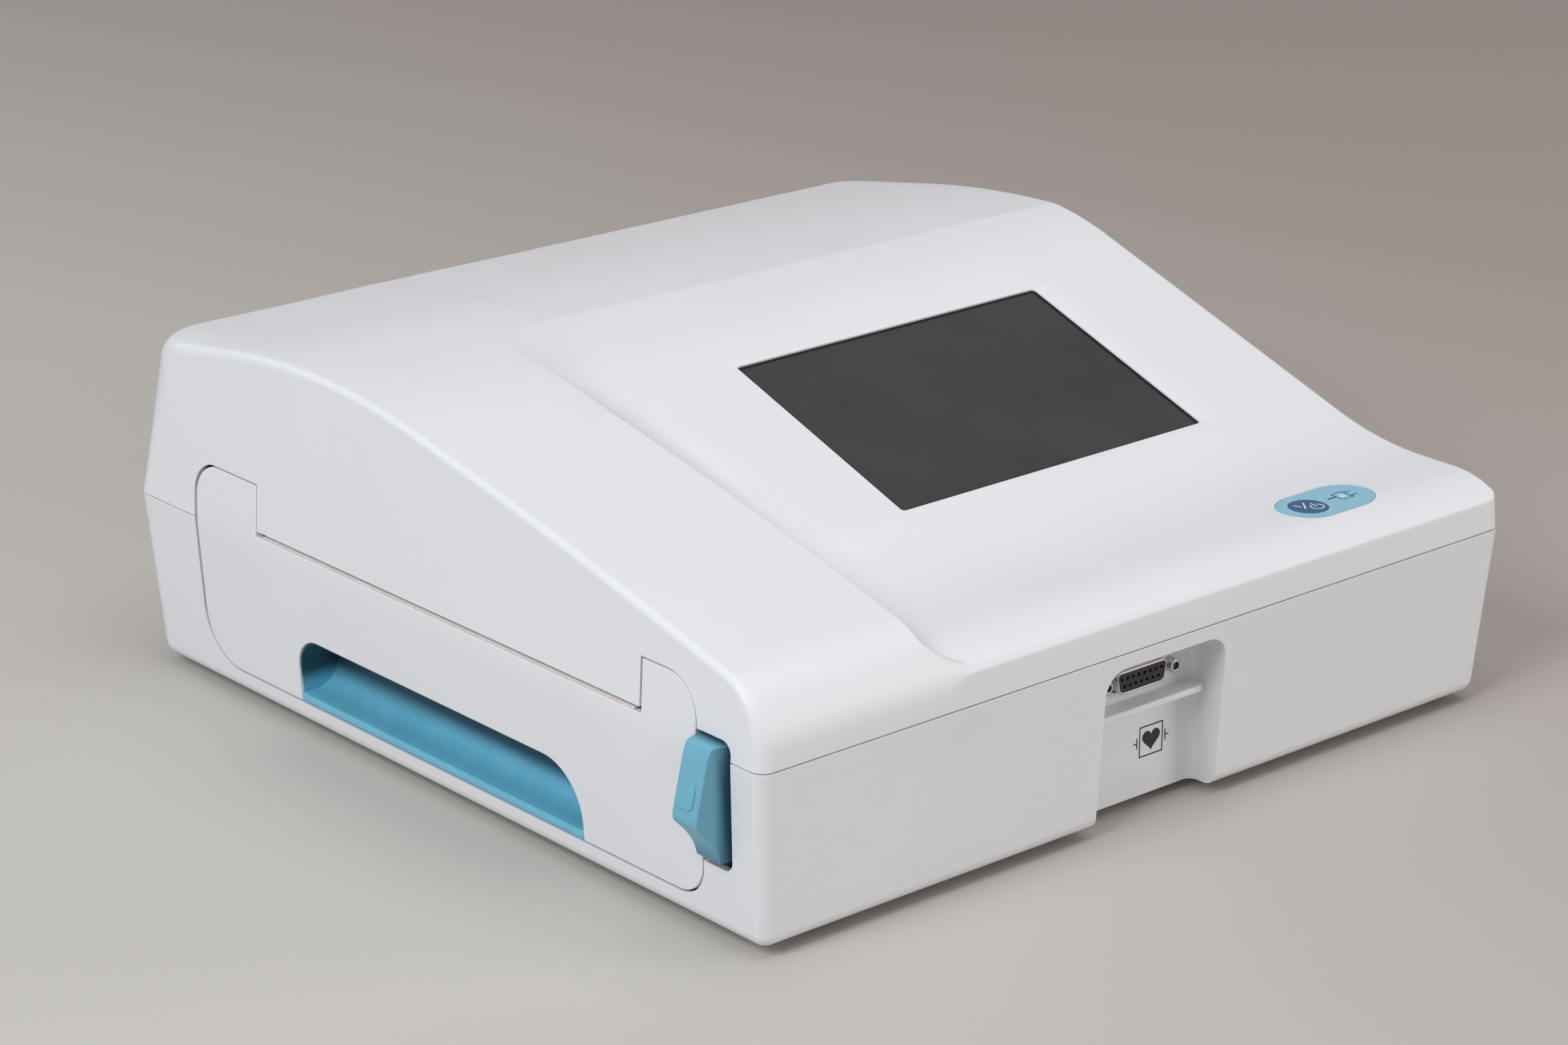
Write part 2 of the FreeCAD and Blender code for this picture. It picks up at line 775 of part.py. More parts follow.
def gear(name, teeth, bore, middle, turn):
    """Spur gear along Y: a root disc, one straight-sided tooth, and a polar pattern of it."""
    body = doc.addObject("PartDesign::Body", name)
    pitch_radius = f"gear_module * {teeth} / 2"
    root = f"({pitch_radius} - 1.25 * gear_module)"
    tip = f"({pitch_radius} + 0.9 * gear_module)"
    disc = body.newObject("Sketcher::SketchObject", name + "_disc")
    disc.AttachmentSupport = (origin_plane(body, "XZ"), [""])
    disc.MapMode = "FlatFace"
    for radius in (root, bore):
        circle = disc.addGeometry(Part.Circle(Vector(), Vector(0, 0, 1), value(radius)), False)
        disc.addConstraint(Sketcher.Constraint("Coincident", circle, 3, -1, 1))
        size = disc.addConstraint(Sketcher.Constraint("Radius", circle, value(radius)))
        disc.setExpression(f"Constraints[{size}]", formula(radius))
    blank = body.newObject("PartDesign::Pad", name + "_blank")
    blank.Profile = disc
    blank.Reversed = True
    bind(blank, Length="gear_width")
    angle = f"360 / {teeth}"
    corners = []
    for radius, share in ((f"({root} - 0.3)", -0.31), (tip, -0.12), (tip, 0.12), (f"({root} - 0.3)", 0.31)):
        corners.append((f"{radius} * cos({share} * {angle})", f"{radius} * sin({share} * {angle})"))
    tooth = body.newObject("PartDesign::Pad", name + "_tooth")
    tooth.Profile = outline(body, name + "_flank", "XZ", corners)
    tooth.Reversed = True
    bind(tooth, Length="gear_width")
    doc.recompute()
    wheel = body.newObject("PartDesign::PolarPattern", name + "_teeth")
    wheel.Originals = [tooth]
    wheel.Axis = (disc, ["N_Axis"])
    wheel.Angle = 360
    wheel.Occurrences = int(value(teeth))
    body.Tip = wheel
    body.Placement = FreeCAD.Placement(Vector(), FreeCAD.Rotation(Vector(0, 1, 0), -10))
    bind(body, Placement__Rotation__Angle=f"0 - ({turn})")
    place(body, middle[0], "gear_low", middle[1])
    doc.recompute()
    return body


fill_sheet()

# Shells before their openings
case_block = tub("case_block", "0", "foot_height")
soften(case_block, "floor_round", "floor_radius", bottom_rim(case_block, value("foot_height - parting_height")))
case_hollow = tub("case_hollow", "wall", "floor_top")
cover_solid = cover_block("cover_solid", 0.0, 0.0)
cover_hollow = cover_block("cover_hollow", value("wall"), 6.0)
outer_skin = fuse("outer_skin", case_block, cover_solid)
inner_skin = fuse("inner_skin", case_hollow, cover_hollow)

# Openings that both shells share
door_hole = plate(
    "door_hole",
    "YZ",
    door_outline("door_gap", "slot_height + slot_opening"),
    "left_side - lever_reach",
    "left_side + 4 * wall",
    door_rounds("door_gap"),
)
pocket_hole = plate(
    "pocket_hole",
    "YZ",
    rectangle("pocket_front", "pocket_back + door_gap", "pocket_bottom", "pocket_top"),
    "left_side - lever_reach",
    "left_side + lever_inner",
    [((0, 3), "pocket_radius")],
)


def bosses(name, radius, low, high):
    """Round columns, or the holes in them, at the four case screws."""
    columns = []
    for side in ("left_side + boss_inset_left", "right_side - boss_inset_side"):
        for end in ("front_side + boss_inset_end", "back_side - boss_inset_end"):
            columns.append(rod(f"{name}{len(columns)}", "Z", (side, end), radius, low, high))
    return columns


def socket_outline(grow):
    """Corners (x, z) of the patient socket's D shape, wide at the top."""
    half_wide, half_narrow = f"(socket_wide / 2 + {grow})", f"(socket_narrow / 2 + {grow})"
    half_tall = f"(socket_tall / 2 + {grow})"
    return [
        (f"bay_mid - {half_narrow}", f"socket_height - {half_tall}"),
        (f"bay_mid + {half_narrow}", f"socket_height - {half_tall}"),
        (f"bay_mid + {half_wide}", f"socket_height + {half_tall}"),
        (f"bay_mid - {half_wide}", f"socket_height + {half_tall}"),
    ]


def jack_places():
    return [f"bay_mid - jack_pitch / 2", "bay_mid + jack_pitch / 2"]


def usb_places():
    return ["rear_mid + usb_offset - usb_pitch / 2", "rear_mid + usb_offset + usb_pitch / 2"]


def rear_window(name, middle, width, height, level):
    """Hole through the rear panel for a socket."""
    return box(
        name,
        (f"{middle} - ({width}) / 2", f"{middle} + ({width}) / 2"),
        ("rear_inside - wall", "rear_face + wall"),
        (f"{level} - ({height}) / 2", f"{level} + ({height}) / 2"),
    )


# Bottom case: tub with its lip, the walls of the two bays, screw columns and openings
bay_block = box(
    "bay_block",
    ("bay_left - bay_wall", "bay_right + bay_wall"),
    ("front_side", "bay_inside"),
    ("foot_height", "bay_top + bay_wall"),
)
rear_block = box(
    "rear_block",
    ("rear_mid - rear_bay_width / 2 - bay_wall", "rear_mid + rear_bay_width / 2 + bay_wall"),
    ("rear_inside", "back_side"),
    ("foot_height", "rear_bay_high + bay_wall"),
)
lip = cut(
    "lip",
    fuse(
        "lip_block",
        ring("lip_foot", "wall / 2", "parting_height - lip_root", "parting_height - lip_height"),
        ring("lip_outside", "wall + lip_clearance", "parting_height - lip_root", "parting_height + lip_height"),
    ),
    ring(
        "lip_inside",
        "wall + lip_clearance + lip_thickness",
        "parting_height - 2 * lip_root",
        "parting_height + 2 * lip_height",
    ),
)
bays = common("bays", fuse("bay_blocks", bay_block, rear_block), case_block)
columns = bosses("case_boss", "boss_radius", "foot_height + wall / 2", "boss_split")
tub_body = fuse("tub_body", cut("tub_shell", case_block, case_hollow), bays, lip, *columns)
bay_hole = plate(
    "bay_hole",
    "XZ",
    rectangle("bay_left", "bay_right", "0", "bay_top"),
    "front_side - wall",
    "bay_back",
    [((2, 3), "bay_radius")],
)
rear_x = ("rear_mid - rear_bay_width / 2", "rear_mid + rear_bay_width / 2")
rear_z = ("rear_bay_low", "rear_bay_high")
rear_hole = box("rear_hole", rear_x, ("rear_inside - wall", "back_side + wall"), rear_z)
ledge = box(
    "ledge",
    ("bay_left", "bay_right"),
    ("bay_back - ledge_depth", "bay_back"),
    ("ledge_top - ledge_thickness", "ledge_top"),
)
battery_hole = box(
    "battery_hole",
    ("battery_x - battery_hole_x", "battery_x + battery_hole_x"),
    ("battery_y - battery_hole_y", "battery_y + battery_hole_y"),
    ("0", "floor_top + wall"),
)
battery_sink = box(
    "battery_sink",
    ("battery_x - battery_hole_x - battery_rim", "battery_x + battery_hole_x + battery_rim"),
    ("battery_y - battery_hole_y - battery_rim", "battery_y + battery_hole_y + battery_rim"),
    ("0", "foot_height + wall / 2"),
)


def battery_screw_places():
    reach = "(battery_hole_x + battery_rim / 2)"
    return [f"battery_x - {reach}", f"battery_x + {reach}"]


def foot_places():
    return [
        (side, end)
        for side in ("left_side + foot_inset", "right_side - foot_inset")
        for end in ("front_side + foot_inset", "back_side - foot_inset")
    ]


case_holes = [door_hole, pocket_hole, rear_hole, battery_hole, battery_sink]
case_holes += bosses("case_screw_hole", "case_screw_radius + lip_clearance", "0", "boss_split + wall")
case_holes += bosses("case_screw_sink", "case_screw_head + lip_clearance", "0", "foot_height + case_screw_sink")
case_holes += [
    rod(f"battery_screw_hole{i}", "Z", (x, "battery_y"), "screw_radius", "0", "floor_top + wall")
    for i, x in enumerate(battery_screw_places())
]
case_holes += [
    rod(f"foot_hole{i}", "Z", spot, "foot_radius", "0", "foot_height + foot_sink")
    for i, spot in enumerate(foot_places())
]
case_holes.append(
    plate("socket_hole", "XZ", socket_outline("lip_clearance"), "bay_back - wall", "bay_inside + wall")
)
case_holes += [
    rod(f"jack_hole{i}", "Y", (x, "socket_height"), "jack_radius", "bay_back - wall", "bay_inside + wall")
    for i, x in enumerate(jack_places())
]
keep("bottom_case", cut("bottom_case", fuse("tub_ledge", cut("tub_open", tub_body, bay_hole), ledge), *case_holes))

# Rear panel with the windows of its sockets
rear_holes = [
    rear_window("inlet_hole", "inlet_x", "inlet_width", "inlet_height", "rear_mid_z"),
    rear_window("network_hole", "rear_mid + network_offset", "network_width", "network_height", "port_height"),
    rod(
        "post_hole",
        "Y",
        ("rear_mid + post_offset", "rear_mid_z"),
        "post_radius",
        "rear_inside - wall",
        "rear_face + wall",
    ),
]
rear_holes += [
    rear_window(f"usb_hole{i}", x, "usb_width", "usb_height", "port_height") for i, x in enumerate(usb_places())
]
keep("rear_panel", cut("rear_panel", box("rear_plate", rear_x, ("rear_inside", "rear_face"), rear_z), *rear_holes))

# Top cover
seam = box(
    "seam",
    ("left_side - wall", "right_side + wall"),
    ("front_side - wall", "back_side + wall"),
    ("parting_height - wall", "parting_height + seam_gap"),
)
screen_hole = tilted(
    "screen_hole", "screen_width", "screen_height", "0 - 2 * wall", "4 * wall", "screen_radius"
)
glass_seat = tilted(
    "glass_seat",
    "screen_width + 2 * glass_border + 2 * overlay_gap",
    "screen_height + 2 * glass_border + 2 * overlay_gap",
    "glass_recess",
    "4 * wall",
)


def bracket_boss(name, radius, near, far):
    """Four posts that stand square under the panel, outside the display's corners."""
    posts = []
    for across in (-1, 1):
        for up in (-1, 1):
            post = rod(f"{name}{len(posts)}", "Z", ("0", "0"), radius, near, far)
            x = f"{across} * (screen_width / 2 + display_border)"
            y = f"{up} * (screen_height / 2 - display_border)"
            posts.append(lay_on_panel(post, x, y, far))
    return posts


cover_columns = bosses("cover_boss", "boss_radius", "boss_split", "crest_height")
display_posts = bracket_boss("display_post", "bracket_boss_radius", "wall / 2", "display_back")
key_posts = [
    rod(f"key_post{side}", "Z", (f"overlay_x + {side} * overlay_length / 2", "overlay_y"), "standoff_radius",
        "key_board_top", "overlay_floor - wall / 2")
    for side in (-1, 1)
]
cover_shell = cut("cover_shell", cover_solid, cover_hollow)
cover_ribs = common("cover_ribs", fuse("cover_columns", *cover_columns), cover_solid)
overlay_pad = stadium(
    "overlay_pad", "overlay_length + 4 * wall", "overlay_width + 4 * wall", "overlay_floor - wall", "overlay_floor"
)
overlay_floor_pad = common("overlay_floor_pad", overlay_pad, cover_solid)
cover_body = fuse("cover_body", cover_shell, cover_ribs, overlay_floor_pad, *display_posts, *key_posts)
cover_holes = [door_hole, pocket_hole, seam, screen_hole, glass_seat]
cover_holes += bosses("cover_screw_hole", "case_screw_radius", "boss_split - wall", "foot_height + case_screw_length + wall")
cover_holes += [
    stadium(
        "overlay_sink",
        "overlay_length + 2 * overlay_gap",
        "overlay_width + 2 * overlay_gap",
        "overlay_floor",
        "deck_height + wall",
    ),
    rod("key_hole", "Z", ("key_x", "overlay_y"), "key_radius + key_gap", "overlay_floor - 2 * wall", "overlay_top"),
    rod(
        "lamp_hole", "Z", ("overlay_x + lamp_offset", "overlay_y"), "lamp_radius", "overlay_floor - 2 * wall", "overlay_top"
    ),
]
keep("top_cover", cut("top_cover", cover_body, *cover_holes))

# Screen
keep(
    "display_glass",
    tilted(
        "display_glass",
        "screen_width + 2 * glass_border",
        "screen_height + 2 * glass_border",
        "glass_recess",
        "glass_back",
    ),
)
keep(
    "display_module",
    tilted("display_module", "screen_width + 2 * glass_border", "screen_height + 2 * glass_border", "glass_back", "display_back"),
)
keep(
    "display_bracket",
    tilted(
        "display_bracket",
        "screen_width + 4 * display_border",
        "screen_height + 2 * glass_border",
        "display_back",
        "display_back + bracket_thickness",
    ),
)

# Power key, its overlay, lamp and switch
overlay_holes = [
    rod("overlay_key_hole", "Z", ("key_x", "overlay_y"), "key_radius + key_gap", "overlay_floor - wall", "deck_height"),
    rod("overlay_lamp_hole", "Z", ("overlay_x + lamp_offset", "overlay_y"), "lamp_radius", "overlay_floor - wall", "deck_height"),
]
keep(
    "power_overlay",
    cut("power_overlay", stadium("overlay_blank", "overlay_length", "overlay_width", "overlay_floor", "overlay_top"), *overlay_holes),
)
keep(
    "power_key",
    fuse(
        "power_key",
        rod("key_disc", "Z", ("key_x", "overlay_y"), "key_radius", "key_low", "overlay_top"),
        rod("key_stem", "Z", ("key_x", "overlay_y"), "key_stem_radius", "key_stem_end", "key_low"),
    ),
)
keep(
    "mains_lamp",
    rod("mains_lamp", "Z", ("overlay_x + lamp_offset", "overlay_y"), "lamp_radius", "key_board_top", "overlay_top"),
)
keep(
    "key_switch",
    box(
        "key_switch",
        ("key_x - switch_size / 2", "key_x + switch_size / 2"),
        ("overlay_y - switch_size / 2", "overlay_y + switch_size / 2"),
        ("key_board_top", "switch_top"),
    ),
)
keep(
    "key_board",
    box(
        "key_board",
        ("overlay_x - overlay_length / 2 - 2 * standoff_radius", "overlay_x + overlay_length / 2 + 2 * standoff_radius"),
        ("overlay_y - overlay_width / 2", "overlay_y + overlay_width / 2"),
        ("key_board_top - board_thickness", "key_board_top"),
    ),
)

# Printer door with its bosses
door_prism = plate(
    "door_prism", "YZ", door_outline("0", "slot_height"), "left_side - lever_reach", "left_side + 4 * wall", door_rounds("0")
)


def door_boss_places():
    return [
        (end, level)
        for end in ("door_front + door_boss_inset", "door_back - door_boss_inset")
        for level in ("door_boss_low", "door_boss_high")
    ]


def door_rods(name, radius, low, high):
    return [rod(f"{name}{i}", "X", spot, radius, low, high) for i, spot in enumerate(door_boss_places())]


def scoop_outline(grow, low):
    front, back = f"scoop_front - ({grow})", f"scoop_back + {grow}"
    return rectangle(front, back, low, f"scoop_top + {grow}")


def scoop_rounds(grow):
    return [((2,), f"scoop_back_radius + {grow}"), ((3,), f"scoop_front_radius + {grow}")]


door_skin = cut("door_skin", common("door_block", outer_skin, door_prism), inner_skin)
door_bosses = common(
    "door_bosses", fuse("door_boss_rods", *door_rods("door_boss", "door_boss_radius", "left_side", "carrier_x")), outer_skin
)
scoop_window = plate(
    "scoop_window", "YZ", scoop_outline("0", "door_bottom - wall"), "left_side - lever_reach", "left_side + 3 * wall", scoop_rounds("0")
)
door_screw_holes = door_rods("door_screw_hole", "screw_radius", "carrier_back_x - screw_length", "carrier_x + wall")
keep("door_panel", cut("door_panel", fuse("door_with_bosses", door_skin, door_bosses), scoop_window, *door_screw_holes))

# Finger scoop: a bucket behind the door's window, with a lip that closes the window's bottom
scoop_bucket = plate(
    "scoop_bucket", "YZ", scoop_outline("scoop_wall", "door_bottom"), "left_side", "left_side + scoop_depth + scoop_wall", scoop_rounds("scoop_wall")
)
scoop_lip_block = box(
    "scoop_lip_block",
    ("left_side", "left_side + 3 * wall"),
    ("scoop_front + overlay_gap", "scoop_back - overlay_gap"),
    ("door_bottom", "door_bottom + scoop_lip"),
)
scoop_hollow = common(
    "scoop_hollow",
    plate(
        "scoop_mouth", "YZ", scoop_outline("0", "door_bottom"), "left_side - lever_reach", "left_side + scoop_depth", scoop_rounds("0")
    ),
    plate(
        "scoop_profile",
        "XZ",
        rectangle("left_side - lever_reach", "left_side + scoop_depth", "door_bottom + scoop_lip", "scoop_top + wall"),
        "scoop_front - wall",
        "scoop_back + wall",
        [((1,), "scoop_floor_radius")],
    ),
)
scoop_solid = fuse(
    "scoop_solid", common("scoop_inside", scoop_bucket, inner_skin), common("scoop_lip_face", scoop_lip_block, outer_skin)
)
keep("finger_scoop", cut("finger_scoop", scoop_solid, scoop_hollow))

# Carrier: a plate behind the door with two cheeks for the platen and the tray
carrier_plate = plate(
    "carrier_plate",
    "YZ",
    door_outline("0 - carrier_inset", "platen_height - platen_radius - carrier_inset"),
    "carrier_x",
    "carrier_back_x",
    door_rounds("0 - carrier_inset"),
)


def cheek(name, low, high):
    """Side plate: tall at the platen, low along the tray."""
    tall = box(name + "_tall", ("carrier_back_x", "tray_start"), (low, high), ("tray_low", "platen_height + platen_radius"))
    long = box(
        name + "_long",
        ("carrier_back_x", "carrier_back_x + cheek_length"),
        (low, high),
        ("tray_low", "tray_low + tray_side_height"),
    )
    return [tall, long]


catch_tab = box(
    "catch_tab",
    ("carrier_back_x", "bracket_x + leaf_length"),
    ("door_front + carrier_inset", "door_front + carrier_inset + 2 * leaf_nose_radius + wall"),
    ("leaf_height - wall", "leaf_height + leaf_width + wall"),
)
carrier_holes = [
    plate(
        "carrier_window",
        "YZ",
        scoop_outline("scoop_wall + overlay_gap", "door_bottom - wall"),
        "carrier_x - wall",
        "carrier_back_x + wall",
        scoop_rounds("scoop_wall + overlay_gap"),
    ),
    rod(
        "catch_notch",
        "Z",
        ("bracket_x + leaf_length * 0.6", "door_front + carrier_inset - leaf_thickness"),
        "leaf_nose_radius + notch_clearance",
        "leaf_height - 2 * wall",
        "leaf_height + leaf_width + 2 * wall",
    ),
    rod(
        "gear_relief",
        "Y",
        ("platen_x", "platen_height"),
        "gear_module * (platen_teeth / 2 + 2)",
        "cheek_back",
        "gear_high + gear_module",
    ),
    rod(
        "bearing_hole",
        "Y",
        ("platen_x", "platen_height"),
        "bearing_radius",
        "cheek_front - wall",
        "cheek_back + wall",
    ),
]
carrier_holes += door_rods("carrier_screw_hole", "screw_radius", "carrier_x - wall", "carrier_back_x + wall")
carrier_solid = fuse(
    "carrier_solid",
    carrier_plate,
    catch_tab,
    *cheek("front_cheek", "cheek_front", "tray_front"),
    *cheek("back_cheek", "tray_back", "cheek_back"),
)
keep("tray_carrier", cut("tray_carrier", carrier_solid, *carrier_holes))
keep(
    "door_screws",
    fuse(
        "door_screws",
        *door_rods("door_screw_shank", "screw_radius", "carrier_back_x - screw_length", "carrier_back_x"),
        *door_rods("door_screw_head", "screw_head_radius", "carrier_back_x", "carrier_back_x + screw_head_height"),
    ),
)

# Paper tray, its pack of paper and the leading sheet
tray_outside = box("tray_outside", ("tray_start", "tray_end"), ("tray_front", "tray_back"), ("tray_low", "tray_low + tray_side_height"))
tray_inside = box(
    "tray_inside",
    ("tray_start + tray_wall", "tray_end - tray_wall"),
    ("tray_front + tray_wall", "tray_back - tray_wall"),
    ("tray_floor_top", "tray_low + 2 * tray_side_height"),
)
tray_mouth = box(
    "tray_mouth",
    ("tray_start - wall", "tray_start + tray_wall + tray_play"),
    ("tray_front + tray_wall", "tray_back - tray_wall"),
    ("tray_low + tray_front_height", "tray_low + 2 * tray_side_height"),
)


def along_rails(name, width, x, z):
    """One straight piece over each rail."""
    return [
        box(
            f"{name}{side}",
            x,
            (f"tray_mid + {side} * runner_spread / 2 - ({width}) / 2", f"tray_mid + {side} * runner_spread / 2 + ({width}) / 2"),
            z,
        )
        for side in (-1, 1)
    ]


runners = along_rails("runner", "runner_width", ("tray_start", "tray_end"), ("tray_low - runner_depth", "tray_low"))
keep("paper_tray", fuse("paper_tray", cut("tray_pan", tray_outside, tray_inside, tray_mouth), *runners))
keep(
    "paper_stack",
    box(
        "paper_stack",
        ("stack_start", "stack_start + paper_length"),
        ("tray_mid - paper_width / 2", "tray_mid + paper_width / 2"),
        ("tray_floor_top", "stack_top"),
    ),
)


def sheet_bend_piece(name, middle, radius, start):
    """Quarter turn of the sheet about a line along Y; start counts from +X towards -Z."""
    ends = ("tray_mid - paper_width / 2", "tray_mid + paper_width / 2")
    outside = rod(name + "_outside", "Y", middle, f"{radius} + sheet_thickness", *ends, sweep=90, start=start)
    inside = rod(name + "_inside", "Y", middle, radius, f"{ends[0]} - wall", f"{ends[1]} + wall")
    return cut(name, outside, inside)


def sheet_run(name, x, z):
    return box(name, x, ("tray_mid - paper_width / 2", "tray_mid + paper_width / 2"), z)


bend_x = "sheet_x + sheet_thickness + sheet_bend"
bend_z = "stack_top + sheet_thickness + sheet_bend"
keep(
    "paper_lead",
    fuse(
        "paper_lead",
        sheet_run("sheet_on_stack", (bend_x, "stack_start + paper_length / 2"), ("stack_top", "stack_top + sheet_thickness")),
        sheet_bend_piece("sheet_turn", (bend_x, bend_z), "sheet_bend", 90),
        sheet_run("sheet_rise", ("sheet_x", "sheet_x + sheet_thickness"), (bend_z, "platen_height")),
        sheet_bend_piece("sheet_over", ("platen_x", "platen_height"), "sheet_radius", 270),
        sheet_run("sheet_out", ("left_side + edge_radius / 5", "platen_x"), ("sheet_z", "sheet_z + sheet_thickness")),
    ),
)

# Platen with its bearings and gear
bearing_ends = (("cheek_front", "tray_front"), ("tray_back", "cheek_back"))
keep(
    "platen_bearings",
    cut(
        "platen_bearings",
        fuse(
            "bearing_rings",
            *[
                rod(f"bearing_ring{i}", "Y", ("platen_x", "platen_height"), "bearing_radius", *ends)
                for i, ends in enumerate(bearing_ends)
            ],
        ),
        rod(
            "bearing_bore",
            "Y",
            ("platen_x", "platen_height"),
            "shaft_radius + running_fit",
            "cheek_front - wall",
            "cheek_back + wall",
        ),
    ),
)
keep("platen_shaft", rod("platen_shaft", "Y", ("platen_x", "platen_height"), "shaft_radius", "cheek_front", "gear_high"))
keep(
    "platen_roller",
    cut(
        "platen_roller",
        rod("roller_outside", "Y", ("platen_x", "platen_height"), "platen_radius", "tray_front + tray_play", "tray_back - tray_play"),
        rod("roller_bore", "Y", ("platen_x", "platen_height"), "shaft_radius", "cheek_front - wall", "gear_high"),
    ),
)
keep("platen_gear", gear("platen_gear", "platen_teeth", "shaft_radius", ("platen_x", "platen_height"), "0"))
keep(
    "idler_gear",
    gear("idler_gear", "idler_teeth", "idler_pin_radius + running_fit", ("idler_x", "platen_height"), "idler_turn"),
)
keep(
    "motor_pinion",
    fuse(
        "motor_pinion",
        gear("pinion_wheel", "pinion_teeth", "motor_shaft_radius", ("motor_x", "motor_z"), "pinion_turn"),
        rod("motor_shaft", "Y", ("motor_x", "motor_z"), "motor_shaft_radius", "frame_back - motor_length", "gear_high"),
    ),
)

# Printer frame: a bridge over the tray that carries the print head, the idler and the motor
frame_beam = box(
    "frame_beam", ("frame_x", "frame_x + frame_sheet"), ("frame_front - frame_sheet", "frame_back + frame_sheet"), ("frame_bottom", "frame_top")
)
frame_legs = [
    box("frame_front_leg", ("frame_x", "frame_x + frame_leg"), ("frame_front - frame_sheet", "frame_front"), ("floor_top", "frame_top")),
    box("frame_back_leg", ("frame_x", "frame_x + frame_leg"), ("frame_back", "frame_back + frame_sheet"), ("floor_top", "frame_top")),
    box(
        "idler_lug",
        ("idler_x - 3 * idler_pin_radius", "frame_x + frame_sheet"),
        ("frame_back", "frame_back + frame_sheet"),
        ("platen_height - 3 * idler_pin_radius", "platen_height + 3 * idler_pin_radius"),
    ),
]
frame_holes = [
    rod("motor_hole", "Y", ("motor_x", "motor_z"), "motor_shaft_radius + slide_clearance", "frame_back - wall", "frame_back + wall"),
    rod("idler_hole", "Y", ("idler_x", "platen_height"), "idler_pin_radius", "frame_back - wall", "frame_back + wall"),
]
keep("printer_frame", cut("printer_frame", fuse("frame_solid", frame_beam, *frame_legs), *frame_holes))
keep(
    "idler_shaft",
    rod("idler_shaft", "Y", ("idler_x", "platen_height"), "idler_pin_radius", "frame_back", "gear_high + slide_clearance"),
)
keep(
    "stepper_motor",
    cut(
        "stepper_motor",
        rod("motor_can", "Y", ("motor_x", "motor_z"), "motor_radius", "frame_back - motor_length - wall", "frame_back"),
        rod(
            "motor_bore",
            "Y",
            ("motor_x", "motor_z"),
            "motor_shaft_radius + running_fit",
            "frame_back - motor_length - running_fit",
            "frame_back + wall",
        ),
    ),
)
keep(
    "print_head",
    box(
        "print_head",
        ("head_x", "heatsink_x"),
        ("tray_front + tray_wall", "tray_back - tray_wall"),
        ("platen_height - head_height / 2", "platen_height + head_height / 2"),
    ),
)
keep(
    "head_heatsink",
    box(
        "head_heatsink",
        ("heatsink_x", "frame_x"),
        ("tray_front + tray_wall", "tray_back - tray_wall"),
        ("platen_height - head_height / 2", "platen_height + head_height"),
    ),
)
keep(
    "tear_bar",
    common(
        "tear_bar",
        box(
            "tear_strip",
            ("left_side", "left_side + wall + tear_bar_depth"),
            ("tray_mid - paper_width / 2", "tray_mid + paper_width / 2"),
            ("slot_height + slot_opening", "slot_height + slot_opening + tear_bar_height"),
        ),
        cover_hollow,
    ),
)

# Rails on the case floor
rail_ends = ("left_side + scoop_depth + scoop_wall + wall", "tray_end + tray_wall")
rail_blocks = along_rails(
    "rail_block", "runner_width + 2 * slide_clearance + 2 * rail_wall", rail_ends, ("floor_top", "tray_low - slide_clearance")
)
rail_grooves = along_rails(
    "rail_groove",
    "runner_width + 2 * slide_clearance",
    (f"{rail_ends[0]} - wall", f"{rail_ends[1]} + wall"),
    ("tray_low - runner_depth - slide_clearance", "tray_low + wall"),
)
keep("tray_rails", cut("tray_rails", fuse("rail_pair", *rail_blocks), *rail_grooves))

# Latch lever with its bracket, pin and leaf
lever_profile = [
    ("left_side + lever_inner", "lever_bottom"),
    ("left_side + lever_inner", "lever_top"),
    ("left_side + wall * 0.6", "lever_top"),
    ("left_side - lever_reach * 0.25", "lever_top - lever_gap"),
    ("left_side - lever_reach * 0.45", "lever_pivot_z - lever_gap"),
    ("left_side - lever_reach", "lever_bottom + (lever_top - lever_bottom) * 0.45"),
    ("left_side - lever_reach", "lever_bottom + (lever_top - lever_bottom) * 0.395"),
    ("left_side - lever_reach * 0.42", "lever_bottom + (lever_top - lever_bottom) * 0.27"),
    ("left_side - lever_reach * 0.15", "lever_bottom + (lever_top - lever_bottom) * 0.14"),
    ("left_side - lever_reach * 0.05", "lever_bottom"),
]
lever_blank = plate("lever_blank", "XZ", lever_profile, "lever_front", "lever_back", [((5, 6), "lever_edge_radius")])
lever_frame = plate(
    "lever_frame",
    "YZ",
    rectangle("lever_front", "lever_back", "lever_bottom", "lever_top"),
    "left_side - 2 * lever_reach",
    "left_side + lever_inner + wall",
    [((0, 3), "pocket_radius - lever_gap")],
)
lever_slot = [
    box(
        "lug_slot",
        ("lever_pivot_x", "left_side + lever_inner + wall"),
        ("lever_mid - lug_width / 2 - lug_clearance", "lever_mid + lug_width / 2 + lug_clearance"),
        ("lever_pivot_z - lug_radius - lug_clearance", "lever_top + wall"),
    ),
    rod(
        "lug_hollow",
        "Y",
        ("lever_pivot_x", "lever_pivot_z"),
        "lug_radius + lug_clearance",
        "lever_mid - lug_width / 2 - lug_clearance",
        "lever_mid + lug_width / 2 + lug_clearance",
    ),
    rod("lever_bore", "Y", ("lever_pivot_x", "lever_pivot_z"), "pin_radius + running_fit", "lever_front - wall", "lever_back + wall"),
]
keep("latch_lever", cut("latch_lever", common("lever_solid", lever_blank, lever_frame), *lever_slot))
keep(
    "lever_pin",
    rod("lever_pin", "Y", ("lever_pivot_x", "lever_pivot_z"), "pin_radius", "lever_front + lever_gap", "lever_back - lever_gap"),
)
leaf_seat = "door_front + carrier_inset - 2 * leaf_thickness"
